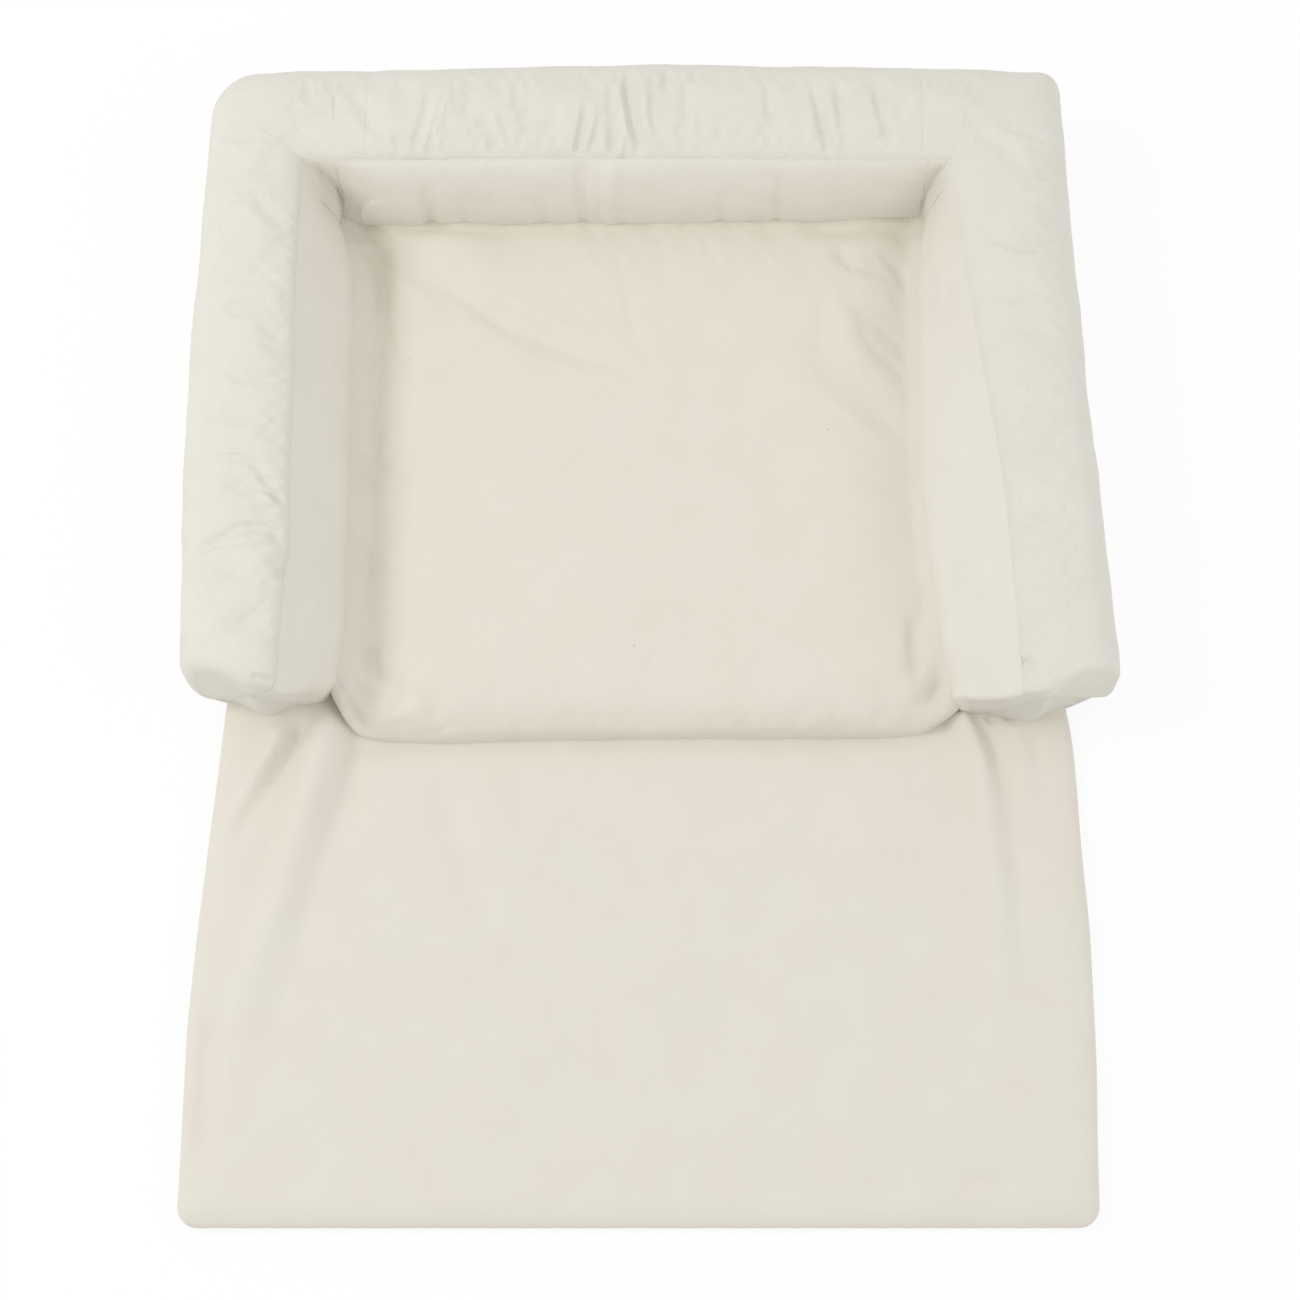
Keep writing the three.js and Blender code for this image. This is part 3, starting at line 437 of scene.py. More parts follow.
@dataclass
class Shell:
    """The points and faces that become one mesh, with each point's place on the cloth."""

    points: list[Array] = field(default_factory=list)
    places: list[Array] = field(default_factory=list)
    faces: list[tuple[int, ...]] = field(default_factory=list)
    flat_faces: set[int] = field(default_factory=set)
    count: int = 0

    def add_points(self, points: Array, places: Array) -> Array:
        """Adds points.

        Args:
            points: The points, in metres.
            places: Their places on the cloth.

        Returns:
            Their numbers, in the same shape.
        """
        shape = points.shape[:-1]
        self.points.append(points.reshape(-1, 3))
        self.places.append(places.reshape(-1, 2))
        numbers = np.arange(self.count, self.count + self.points[-1].shape[0]).reshape(shape)
        self.count += numbers.size
        return numbers

    def add_quads(self, numbers: Array, looped: bool = False) -> None:
        """Adds the quads of a net of numbered points."""
        if looped:
            numbers = np.concatenate([numbers, numbers[:, :1]], axis=1)
        corners = [numbers[:-1, :-1], numbers[1:, :-1], numbers[1:, 1:], numbers[:-1, 1:]]
        quads = np.stack([corner.ravel() for corner in corners], axis=1)
        self.faces.extend(map(tuple, quads.tolist()))

    def close_ring(self, ring: Array, shares: Sequence[float], lift: Vector) -> None:
        """Closes a ring with smaller rings and a fan.

        Args:
            ring: The numbers of the ring's points, in order.
            shares: How far each smaller ring is on the way to the middle, below 1.
            lift: How far the middle stands out of the ring.
        """
        points, places = np.concatenate(self.points), np.concatenate(self.places)
        edge, edge_places = points[ring], places[ring]
        middle, middle_place = edge.mean(axis=0) + np.array(lift), edge_places.mean(axis=0)
        rows = [ring]
        for share in shares:
            bulge = np.array(lift) * (1 - (1 - share) ** 2)
            inner = edge + (edge.mean(axis=0) - edge) * share + bulge
            inner_places = edge_places + (middle_place - edge_places) * share
            rows.append(self.add_points(inner, inner_places))
        centre = int(self.add_points(middle[None], middle_place[None])[0])
        self.add_quads(np.stack(rows), looped=True)
        last, following = rows[-1].tolist(), np.roll(rows[-1], -1).tolist()
        self.faces.extend(zip(last, following, [centre] * len(last)))

    def mesh_object(self, name: str, *materials: Material) -> Object:
        """The shell as a closed, smooth mesh object whose faces point out.

        Args:
            name: The object's name.
            materials: Its materials.

        Returns:
            The object, in the scene.
        """
        mesh = bpy.data.meshes.new(name)
        points = np.concatenate(self.points)
        mesh.from_pydata(points.tolist(), [], self.faces)
        made = bmesh.new()
        made.from_mesh(mesh)
        bmesh.ops.recalc_face_normals(made, faces=made.faces)
        made.to_mesh(mesh)
        made.free()
        corners = np.empty(len(mesh.loops), np.int32)
        mesh.loops.foreach_get("vertex_index", corners)
        layer = mesh.uv_layers.new(name="cloth")
        places = np.concatenate(self.places)[corners]
        layer.data.foreach_set("uv", places.astype(np.float32).ravel())
        smooth = np.ones(len(mesh.polygons), bool)
        smooth[list(self.flat_faces)] = False
        mesh.polygons.foreach_set("use_smooth", smooth)
        for material in materials:
            mesh.materials.append(material)
        mesh.update()
        return linked(name, mesh)


def linked(name: str, data: bpy.types.ID) -> Object:
    """A new object in the scene that shows a mesh, a lamp or a camera."""
    made = bpy.data.objects.new(name, data)
    bpy.context.scene.collection.objects.link(made)
    return made


def rim(numbers: Array) -> Array:
    """The numbers round the edge of a net of numbered points, in order."""
    sides = numbers[0, :-1], numbers[:-1, -1], numbers[-1, :0:-1], numbers[:0:-1, 0]
    return np.concatenate(sides)


class Value:
    """A shader socket that takes part in Python arithmetic."""

    def __init__(self, tree: NodeTree, socket: bpy.types.NodeSocket) -> None:
        """Wraps one output socket of a tree."""
        self.tree, self.socket = tree, socket

    def _math(self, operation: str, *terms: "Value | float") -> "Value":
        """What a Math node makes of some terms."""
        inputs = dict(enumerate(terms))
        made = new_node(self.tree, "ShaderNodeMath", {"operation": operation}, inputs)
        return Value(self.tree, made.outputs[0])

    def __add__(self, other: "Value | float") -> "Value":
        """The sum."""
        return self._math("ADD", self, other)

    def __sub__(self, other: "Value | float") -> "Value":
        """The difference."""
        return self._math("SUBTRACT", self, other)

    def __rsub__(self, other: float) -> "Value":
        """The difference from a number."""
        return self._math("SUBTRACT", other, self)

    def __mul__(self, other: "Value | float") -> "Value":
        """The product."""
        return self._math("MULTIPLY", self, other)

    __radd__ = __add__
    __rmul__ = __mul__

    def sine(self) -> "Value":
        """The sine of the value as an angle."""
        return self._math("SINE", self)

    def above(self, limit: float) -> "Value":
        """1 where the value is above a limit, else 0."""
        return self._math("GREATER_THAN", self, limit)

    def held(self, low: float, high: float) -> "Value":
        """The value spread from 0 at a low to 1 at a high limit, and held there beyond them."""
        made = new_node(self.tree, "ShaderNodeMapRange", {"interpolation_type": "SMOOTHSTEP"},
                        {"Value": self, "From Min": low, "From Max": high})
        return Value(self.tree, made.outputs["Result"])


def new_node(tree: NodeTree, kind: str, settings: dict[str, Any],
             inputs: dict[str | int, Any]) -> Node:
    """Adds a node to a tree.

    Args:
        tree: The tree.
        kind: The node's type.
        settings: Its own settings, set first.
        inputs: A constant, a Value or an output socket for each named or numbered socket.

    Returns:
        The node.
    """
    made = tree.nodes.new(kind)
    for setting, value in settings.items():
        setattr(made, setting, value)
    for name, value in inputs.items():
        source = value.socket if isinstance(value, Value) else value
        if isinstance(source, bpy.types.NodeSocket):
            tree.links.new(source, made.inputs[name])
        else:
            made.inputs[name].default_value = source
    return made


class Finish:
    """A material under construction: its tree, its shader and helpers that add nodes."""

    def __init__(self, name: str) -> None:
        """Starts a material with one Principled shader."""
        self.material = bpy.data.materials.new(name)
        self.material.use_nodes = True
        self.tree = self.material.node_tree
        self.tree.nodes.clear()
        self.shader = self.tree.nodes.new("ShaderNodeBsdfPrincipled")
        self.surface = self.tree.nodes.new("ShaderNodeOutputMaterial").inputs["Surface"]
        self.tree.links.new(self.shader.outputs[0], self.surface)

    def node(self, kind: str, settings: dict[str, Any], inputs: dict[str | int, Any]) -> Node:
        """Adds a node to the material, as new_node does."""
        return new_node(self.tree, kind, settings, inputs)

    def output(self, node: Node, name: str | int = 0) -> Value:
        """One of a node's outputs as a Value."""
        return Value(self.tree, node.outputs[name])

    def set(self, **inputs: Any) -> None:
        """Sets the shader's sockets, named with underscores for spaces."""
        for name, value in inputs.items():
            socket = self.shader.inputs[name.replace("_", " ")]
            if isinstance(value, Value):
                self.tree.links.new(value.socket, socket)
            else:
                socket.default_value = value

    def blend(self, share: Value | float, low: Any, high: Any) -> Value:
        """A colour between two others."""
        node = self.node("ShaderNodeMix", {"data_type": "RGBA"}, {0: share, 6: low, 7: high})
        return self.output(node, 2)

    def noise(self, place: Value, scale: float, detail: float = 2.0) -> Value:
        """Smooth noise from 0 to 1 at a place."""
        node = self.node("ShaderNodeTexNoise", {}, {
            "Vector": place, "Scale": scale, "Detail": detail})
        return self.output(node, 0)

    def stretched(self, place: Value, scale: Triple) -> Value:
        """A place with each axis scaled on its own."""
        node = self.node("ShaderNodeMapping", {}, {"Vector": place, "Scale": scale})
        return self.output(node)

    def relief(self, height: Value, strength: float, depth: float) -> Value:
        """The normal of a surface with fine relief of a depth in mm."""
        node = self.node("ShaderNodeBump", {}, {
            "Height": height, "Strength": strength, "Distance": depth * MM})
        return self.output(node)

    def place(self) -> Value:
        """Where a point of the surface lies on its object."""
        return self.output(self.node("ShaderNodeTexCoord", {}, {}), "Object")


def linear(colour: Sequence[float], strength: float = 1.0) -> tuple[float, float, float, float]:
    """The shader's colour for a share of a red, green and blue from 0 to 255 on the screen."""
    shares = [strength * value / 255 for value in colour]
    return (*(share / 12.92 if share <= 0.04045 else ((share + 0.055) / 1.055) ** 2.4
              for share in shares), 1.0)


@dataclass(frozen=True)
class WovenCotton:
    """Plain-woven, unbleached cotton with warmer slubs and, where chosen, a few dark seeds.

    The distance between threads is in mm, and a scale is how many cells lie along a metre.
    """

    name: str
    colour: Triple
    shade: Triple
    thread: float = 0.8
    slub: float = 0.5
    roughness: float = 0.92
    seeds: bool = False
    thread_scale: Span = (90.0, 1300.0)
    thick: Span = (0.52, 0.72)
    crumple_scale: float = 240.0
    cloud_scale: float = 26.0
    clouds: Span = (0.3, 0.75)
    seed_scale: float = 4.6
    seed_edge: Span = (0.0012, 0.0028)
    seed_colour: Triple = (128, 112, 88)

    def material(self) -> Material:
        """The cloth as a material that reads the piece's own map."""
        finish = Finish(self.name)
        place = finish.output(finish.node("ShaderNodeUVMap", {"uv_map": "cloth"}, {}))
        parts = finish.node("ShaderNodeSeparateXYZ", {}, {"Vector": place})
        turn = 2 * math.pi / (self.thread * MM)
        warp, weft = ((finish.output(parts, axis) * turn).sine() for axis in (0, 1))
        weave = warp * weft
        along, across = (finish.noise(finish.stretched(place, (*scale, 1.0)), 1.0, 1.0)
                         for scale in (self.thread_scale, self.thread_scale[::-1]))
        crumple = finish.noise(place, self.crumple_scale, 3.0)
        cloudy = finish.noise(place, self.cloud_scale, 3.0)
        threads = along * 0.5 + across * 0.5
        thick = threads.held(*self.thick)
        tone = finish.blend(cloudy.held(*self.clouds) * 0.22 + thick * (0.5 * self.slub),
                            linear(self.colour), linear(self.shade))
        if self.seeds:
            cells = finish.node("ShaderNodeTexVoronoi", {"voronoi_dimensions": "2D"}, {
                "Vector": place, "Scale": self.seed_scale})
            speck = 1 - finish.output(cells, "Distance").held(*self.seed_edge)
            tone = finish.blend(speck * 0.8, tone, linear(self.seed_colour))
        height = weave * 0.12 + threads * (1.2 * self.slub) + crumple * 0.5
        finish.set(Base_Color=tone, Roughness=threads * 0.1 + (self.roughness - 0.05),
                   Normal=finish.relief(height, 0.35, self.thread), Sheen_Weight=0.12,
                   Sheen_Roughness=0.6, Specular_IOR_Level=0.25)
        return finish.material


@dataclass(frozen=True)
class MouldedPlastic:
    """Matt moulded plastic, as on the zip's teeth."""

    name: str
    colour: Triple
    roughness: float = 0.4
    grain_scale: float = 900.0
    grain_depth: float = 0.1

    def material(self) -> Material:
        """The plastic as a material."""
        finish = Finish(self.name)
        uneven = finish.noise(finish.place(), self.grain_scale, 2.0)
        tone = finish.blend(uneven * 0.3, linear(self.colour), linear(self.colour, 0.9))
        finish.set(Base_Color=tone, Roughness=uneven * 0.15 + (self.roughness - 0.07),
                   Normal=finish.relief(uneven, 0.15, self.grain_depth))
        return finish.material


@dataclass(frozen=True)
class BrushedNickel:
    """Nickel-plated zinc with fine wear, as on the zip's slider."""

    name: str
    colour: Triple
    roughness: float = 0.3
    brush_scale: Triple = (300.0, 3000.0, 3000.0)
    brush_depth: float = 0.05
    wear_scale: float = 500.0
    worn: Span = (0.5, 0.75)

    def material(self) -> Material:
        """The metal as a material."""
        finish = Finish(self.name)
        place = finish.place()
        lines = finish.noise(finish.stretched(place, self.brush_scale), 1.0, 3.0)
        wear = finish.noise(place, self.wear_scale, 3.0).held(*self.worn)
        tone = finish.blend(wear * 0.4, linear(self.colour), linear(self.colour, 0.8))
        finish.set(Base_Color=tone, Metallic=1.0,
                   Roughness=lines * 0.15 + wear * 0.15 + (self.roughness - 0.1),
                   Normal=finish.relief(lines, 0.1, self.brush_depth))
        return finish.material


@dataclass(frozen=True)
class Finishes:
    """Every finish of the lounger, made once."""

    bolster: Material
    # painted light: a lighter, warmer copy of the bolster's cotton for the inner walls, making up
    # for the shade that falls on them
    wall: Material
    pad: Material
    apron: Material
    base: Material
    thread: Material
    tape: Material
    plastic: Material
    metal: Material

    @classmethod
    def made(cls) -> "Finishes":
        """All the finishes."""
        cotton = {
            "bolster": WovenCotton("slub_cotton", (227, 224, 214), (216, 210, 197), 0.95, 0.8),
            # the bolster's cotton painted lighter and warmer, to stand in for light on the shaded
            # inner walls
            "wall": WovenCotton("wall_cotton_painted_lighter", (233, 229, 219), (224, 218, 206), 0.7, 0.5),
            "pad": WovenCotton("pad_cotton", (228, 223, 210), (220, 214, 199), 0.6, 0.35,
                               seeds=True),
            "apron": WovenCotton("apron_cotton", (228, 223, 211), (220, 214, 200), 0.6, 0.35),
            "base": WovenCotton("base_cotton", (214, 208, 194), (201, 194, 178), 0.8, 0.6),
            "thread": WovenCotton("sewing_thread", (232, 228, 217), (220, 214, 200), 0.3, 0.3),
            "tape": WovenCotton("zip_tape", (222, 216, 203), (208, 201, 186), 0.5, 0.4),
        }
        return cls(
            **{part: cloth.material() for part, cloth in cotton.items()},
            plastic=MouldedPlastic("zip_plastic", (231, 227, 216)).material(),
            metal=BrushedNickel("zip_nickel", (190, 187, 180)).material(),
        )


@dataclass(frozen=True)
class Line:
    """A smooth line in plan, in mm: its X at places along Y, or its Y at places along X."""

    chosen: Plan

    def at(self, places: Array | float) -> Array:
        """The line's value at some places."""
        known = np.asarray(self.chosen)
        return through(known[:, 0], known[:, 1], np.asarray(places, float))

    def one(self, place: float) -> float:
        """The line's value at one place."""
        return float(self.at(place))


@dataclass(frozen=True)
class ArmPlan:
    """The lines of one arm in plan, in mm: X of each line at places along Y.

    The base is the crease between inner wall and pad, and the outer line the widest part. End and
    tuck are how far the end and its foot lie behind the front, at shares of the way from inner to
    outer side, and the inner draw is how much more the inner side is drawn in than the outside.
    """

    side: Side
    base: Line
    seam: Line
    outer: Line
    front: float
    end: Line
    tuck: Line
    corner_radius: float
    end_radius: float
    inner_draw: float
    end_bend: float = 60.0
    foot_reach: float = 40.0


@dataclass(frozen=True)
class HeadPlan:
    """The lines of the head run in plan, in mm: Y of each line at places along X."""

    base: Line = Line(((-216, 303), (-180, 298.5), (-160, 297), (-120, 297.5), (0, 299.5),
                       (120, 301), (203, 305)))
    seam: Line = Line(((-232, 315), (-120, 316), (0, 316.5), (120, 316), (214, 315)))
    back: Line = Line(((-312, 394.5), (-246, 397), (-130, 400.3), (-28, 402.6), (30, 403.4),
                       (88, 402.5), (175, 401), (312, 397)))


LEFT_ARM = ArmPlan(
    side=Side.LEFT,
    base=Line(((-61, -206), (-7, -202.5), (78, -202.5), (144, -204), (211, -204), (245, -204.5),
               (268, -207), (285, -211), (299, -216))),
    seam=Line(((-61, -237), (-30, -236), (14, -234), (27, -232.5), (78, -234), (144, -233.5),
               (211, -235.5), (320, -234))),
    outer=Line(((-61, -307.5), (-27, -309), (45, -311), (119, -312.7), (194, -312), (271, -309.5),
                (351, -307), (392, -304))),
    front=-67.0,
    end=Line(((0, 13), (0.06, 10), (0.17, 3.5), (0.28, 0.5), (0.38, 0), (0.48, 1), (0.58, 4),
              (0.7, 8), (0.85, 12), (1, 14))),
    tuck=Line(((0, 3.5), (0.6, 3.5), (0.85, 6), (1, 7))),
    corner_radius=34.0, end_radius=12.0, inner_draw=1.3,
)
RIGHT_ARM = ArmPlan(
    side=Side.RIGHT,
    base=Line(((-61, 214), (-20, 207), (12, 203.5), (86, 198), (160, 197.5), (240, 199), (280, 202),
               (304, 206))),
    seam=Line(((-61, 252), (20, 249), (82, 245), (143, 237), (203, 229), (259, 223), (320, 215))),
    outer=Line(((-61, 323.8), (-27, 322.3), (45, 318.2), (119, 314), (194, 310.2), (271, 307),
                (351, 304.5), (392, 303.5))),
    front=-72.0,
    end=Line(((0, 12), (0.1, 7), (0.2, 3), (0.345, 0), (0.46, 0.5), (0.57, 6.5), (0.68, 12),
              (0.8, 15), (0.9, 17.5), (1, 19.5))),
    tuck=Line(((0, 3.5), (0.55, 3.5), (0.8, 5.5), (0.9, 7.5), (1, 10))),
    corner_radius=13.0, end_radius=3.5, inner_draw=2.7,
)

HEAD_TOP_FOLDS = folds(
    ((-131, 372, -137, 347, -146, 320), 5.5, 4.2, (0.35, 0.15), -0.5),
    ((-146, 370, -149, 345, -157, 320), 5.5, -2.8, (0.3, 0.15)),
    ((-140, 334, -146, 318), 5, -3, (0.3, 0.1)),
    ((-112, 352, -106, 336, -99, 319), 5, -3.4, (0.3, 0.15), 0.4),
    ((-104, 352, -92, 319), 5, 2.2, (0.3, 0.15)),
    ((-85, 374, -84, 346), 7, -2.4),
    ((-36, 358, -44, 318), 5.5, -4, (0.4, 0.1), -0.4),
    ((-28, 354, -34, 334, -39, 320), 4.5, 3, (0.4, 0.1)),
    ((-8, 390, -9, 370, -6, 345, 1, 318), 7.5, -6, (0.3, 0.1), -0.45),
    ((5, 384, 5, 347, 12, 320), 6.5, 3.6, (0.35, 0.2), 0.3),
    ((-14, 345, -19, 317), 4.5, -3.4, (0.4, 0.1), 0.3),
    ((-9, 334, -14, 317), 4.5, 2.4, (0.4, 0.1)),
    ((21, 388, 18, 360), 5.5, -3.2),
    ((121, 374, 126, 345, 133, 316), 6, -3.8, (0.3, 0.15), -0.3),
    ((132, 368, 139, 318), 6, 2.6, (0.3, 0.15)),
    ((166, 374, 170, 345, 179, 318), 6, -3.2),
    ((-170, 331, -166, 317), 4.5, -2),
    ((215, 318, 240, 334, 272, 352), 8, -1.2, (0.1, 0.6)),
    ((-235, 319, -252, 332), 6, -0.8, (0.1, 0.6)),
)
ARM_TOP_FOLDS = folds(
    ((-296, 88, -272, 91, -257, 87, -247, 73, -235, 57), 5.5, -3.6, (0.4, 0.1), 0.4),
    ((-254, 66, -236, 52), 4.5, 3.2),
    ((-300, 25, -277, 34, -262, 41, -247, 41, -235, 34), 6, -3.4, (0.3, 0.1), 0.4),
    ((-293, 17, -270, 27, -248, 31, -236, 25), 6, 3),
    ((-231, 17, -239, 3), 4.5, -2),
    ((-290, 5, -268, 6), 7, 2.2),
    ((-254, -62, -238, -64), 3.8, -2.6),
    ((-307, -28, -301, -48), 7, -6.5),
    ((-262, 190, -240, 178), 9, -1.2),
    ((-288, 250, -262, 243), 12, -1),
    ((248, -46, 260, -57), 4.5, -3.4),
    ((256, -44, 266, -53), 4.5, 1.8),
    ((288, -2, 314, 3), 10, -2),
    ((286, 120, 312, 128), 12, -1.4),
    ((262, 60, 286, 66), 12, -1),
    ((232, 292, 226, 268), 5, -1.2),
)
HEAD_WALL_FOLDS = folds(
    ((-41, 286, -39, 318), 8, -2.4, (0.1, 0.3)),
    ((-20, 286, -19, 318), 9, 2, (0.1, 0.3)),
    ((99, 286, 100, 312), 7, -2.2, (0.1, 0.5)),
    ((-151, 286, -149, 308), 9, -4, (0, 0.6)),
    ((-125, 286, -124, 304), 7, -2.6, (0, 0.7)),
    ((-68, 286, -69, 305), 9, -3.2, (0, 0.7)),
    ((30, 286, 30, 302), 8, -2.4, (0, 0.7)),
    ((57, 286, 59, 306), 7, -4, (0, 0.6)),
    ((114, 286, 113, 303), 9, -2.8, (0, 0.7)),
    ((160, 286, 162, 303), 14, 1.8, (0, 0.7)),
    ((-95, 286, -96, 303), 14, 2, (0, 0.7)),
    ((-5, 286, -5, 303), 14, 1.6, (0, 0.7)),
)
PAD_FOLDS = folds(
    ((-183, 290, -165, 268, -122, 238, -92, 218, -45, 196, 5, 178, 40, 165), 16, -6.5, (0.1, 0.45)),
    ((-150, 300, -80, 236, 0, 212), 26, 2.8, (0.1, 0.6)),
    ((151, 270, 134, 238, 128, 205, 146, 172, 169, 144, 189, 106), 15, -4.2),
    ((152, 238, 148, 210, 166, 176), 13, 3),
    ((182, 270, 190, 256, 196, 240), 8, -2.2),
    ((140, 278, 158, 258), 9, -3),
    ((-190, 290, -184, 270, -181, 240, -180, 170), 13, -6, (0.1, 0.85)),
    ((208, 16, 210, -26, 208, -42, 198, -56, 172, -62), 5.5, -5.5, (0.3, 0.4)),
    ((198, 14, 200, -28, 192, -46, 170, -54), 7, 3, (0.3, 0.4)),
    ((186, 8, 188, -30, 180, -44), 8, -2.4, (0.3, 0.4)),
    ((-163, -36, -154, -54), 6, -3),
    ((-186, -60, -166, -68, -136, -66), 11, 3),
    ((-196, -28, -182, -46, -160, -56), 9, 3.2),
    ((-204, -46, -197, -58, -188, -68, -176, -76), 4.5, -4.5, (0.1, 0.4)),
    ((-210, -40, -204, -56, -194, -68), 5, 3),
    ((-188, -10, -176, -38, -164, -46), 9, -3.2),
    ((-120, 60, -60, -20), 30, -1.4),
    ((-196, 60, -190, 30), 10, -2.4),
    ((-196, 128, -192, 90), 9, -2.2),
)
APRON_FOLDS = folds(
    ((-210, -52, -218, -90, -230, -140, -244, -200, -260, -260, -276, -330), 21, 13,
     (0.08, 0.88), -0.15),
    ((-238, -58, -252, -92, -270, -132, -284, -170), 14, 8, (0.2, 0.75)),
    ((-227, -62, -250, -106, -270, -142, -284, -180), 9, -6, (0.15, 0.7)),
    ((-186, -80, -194, -120, -206, -175), 14, -4.5, (0.1, 0.8)),
    ((222, -56, 231, -95, 236, -135, 240, -195, 240, -262, 238, -330), 17, 9.5, (0.02, 0.85), -0.1),
    ((228, -58, 237, -76, 243, -98, 248, -128), 6.5, -6.5, (0.02, 0.75)),
    ((205, -78, 212, -110, 216, -150), 11, -1.2, (0.1, 0.8)),
    ((239, -60, 243, -73), 4.5, -3.6, (0, 0.6)),
    ((252, -64, 262, -71), 4, -3.4, (0, 0.6)),
    ((256, -62, 263, -100, 268, -150), 12, 3.6, (0.02, 0.8)),
    ((-142, -92, -118, -160, -92, -226), 18, -2),
    ((-104, -96, -88, -170), 16, 1.4),
    ((-281, -245, -285, -320, -283, -390), 14, -4.6),
    ((-250, -180, -262, -250, -266, -320), 20, 1.6),
    ((205, -381, 228, -378, 252, -381), 8, -2.2),
    ((120, -140, 60, -260, 20, -330), 40, -1.6),
)


@dataclass(frozen=True)
class Station:
    """One section of the bolster in plan, in mm.

    The inset draws it in at a rounded end, the roll from 0 to 1 rolls its wall over, and the plan
    is the arm whose end bends it, the more the nearer it is, from 0 to 1.
    """

    inner: Array
    seam: Array
    outer: Array
    inset: float = 0.0
    roll: float = 0.0
    plan: ArmPlan | None = None
    near: float = 0.0

    def bent(self, places: Array, heights: Array) -> Array:
        """How far the arm's end moves the section's points back.

        Args:
            places: The points in plan.
            heights: Their heights.

        Returns:
            The moves along Y.
        """
        if self.plan is None:
            return np.zeros(len(places))
        across = self.outer - self.inner
        share = (places - self.inner) @ across / (across @ across)
        low = 1 - np.clip(heights / self.plan.foot_reach, 0, 1)
        foot = self.plan.tuck.at(share) * low**2
        return self.near * (self.plan.end.at(share) + foot)


@dataclass(frozen=True)
class Seam:
    """How a seam draws the cover down, in mm, over a reach in lines of the net.

    Fine lines are added beside it, at shares of the gap to the next line.
    """

    depth: float
    draw: float
    reach: float
    beside: tuple[float, ...]

    def profile(self, count: int, index: int) -> Array:
        """How far each line of the net is lifted.

        Args:
            count: The number of lines.
            index: The number of the seam's own line.

        Returns:
            Heights in metres, below 0.
        """
        distance = np.abs(np.arange(count) - index)
        heights = -self.draw * MM * np.exp(-((distance / self.reach) ** 2))
        heights[index] -= self.depth * MM
        return heights


@dataclass(frozen=True)
class Hold:
    """How firmly the bolster's cover is held while it settles, from 0 to 1, and where.

    Places are in mm, except for the columns beside the seam and the rows beside the ends.
    """

    wall: float = 0.75
    outside: float = 0.75
    corner: float = 0.85
    seam_columns: float = 2.5
    end_rows: Span = (4.0, 14.0)
    sides: Span = (278.0, 300.0)
    back: Span = (368.0, 392.0)
    corner_x: Span = (225.0, 262.0)
    corner_y: Span = (322.0, 352.0)
    foot: Span = (14.0, 36.0)
    nook: Span = (26.0, 48.0)

    def at(self, net: Net, seam: int, nooks: Sequence[Array]) -> Array:
        """The hold of each point of the cover.

        Args:
            net: The cover.
            seam: The column of the top seam.
            nooks: The nooks in plan, in mm.

        Returns:
            A value for each point.
        """
        rows, columns = net.points.shape[:2]
        column = np.abs(np.arange(columns) - seam)
        held = np.maximum(0, 1 - column / self.seam_columns)[None, :] * np.ones((rows, 1))
        held[:, :seam] = np.maximum(held[:, :seam], self.wall)
        x, y, z = np.abs(net.points[..., 0]), net.points[..., 1], net.points[..., 2]
        row = np.minimum(np.arange(rows), np.arange(rows)[::-1]).astype(float)
        holds = [
            self.outside * np.maximum(ramp(self.sides, x), ramp(self.back, y)),
            self.corner * (ramp(self.corner_x, x) * ramp(self.corner_y, y)),
            (1 - eased(*self.end_rows, row))[:, None],
            1 - ramp(self.foot, z),
        ]
        for nook in nooks:
            away = np.linalg.norm(net.points[..., :2] - nook * MM, axis=-1)
            holds.append(1 - ramp(self.nook, away))
        for hold in holds:
            held = np.maximum(held, hold)
        return held


@dataclass(frozen=True)
class Valley:
    """A deep nook, where the head's wall is drawn in beside an arm's wall. Sizes are in mm.

    It begins over the edge, beside the arm's wall. Fade and growth are shares over which it ends
    and grows deep, and the moves the shares of its depth by which the wall moves back and down.
    """

    depth: float
    reach: float
    narrowing: float = 0.55
    edge: Span = (-0.6, 1.2)
    fade: Span = (0.45, 0.95)
    foot: float = 0.05
    growth: Span = (0.12, 0.5)
    moves: Span = (0.9, 0.35)
    span: float = 60.0
    start: float = 2.0
    low: float = 40.0

    def sink(self, wall: Array, nook: Array, tip: Array, side: Side) -> None:
        """Moves the wall's points.

        Args:
            wall: The points, from the pad to the seam in each row, changed in place.
            nook: Where the valley starts in plan, at the pad, in metres.
            tip: Where it ends in plan, at the seam, in metres.
            side: The arm beside it.
        """
        run = tip - nook
        length = np.linalg.norm(run)
        offset = wall[..., :2] - nook
        along = np.clip((offset @ run) / length**2, 0, 1)
        beside = (offset[..., 1] * run[0] - offset[..., 0] * run[1]) * side / length
        reach = self.reach * MM * (1 - self.narrowing * along)
        fall = 1 - np.sqrt(1 - (1 - np.clip(beside / reach, 0, 1)) ** 2)
        deep = ramp(self.edge, beside) * fall * (1 - eased(*self.fade, along))
        near = np.abs(wall[..., 0] - nook[0]) < self.span * MM
        at_head = wall[..., 1] > nook[1] - self.start * MM
        share = np.linspace(0, 1, wall.shape[1])
        deep *= self.foot + (1 - self.foot) * eased(*self.growth, share)
        deep *= near * at_head * (1 - share**4) * self.depth * MM
        wall[..., 1] += self.moves[0] * deep
        wall[..., 2] -= self.moves[1] * deep * (wall[..., 2] > self.low * MM)


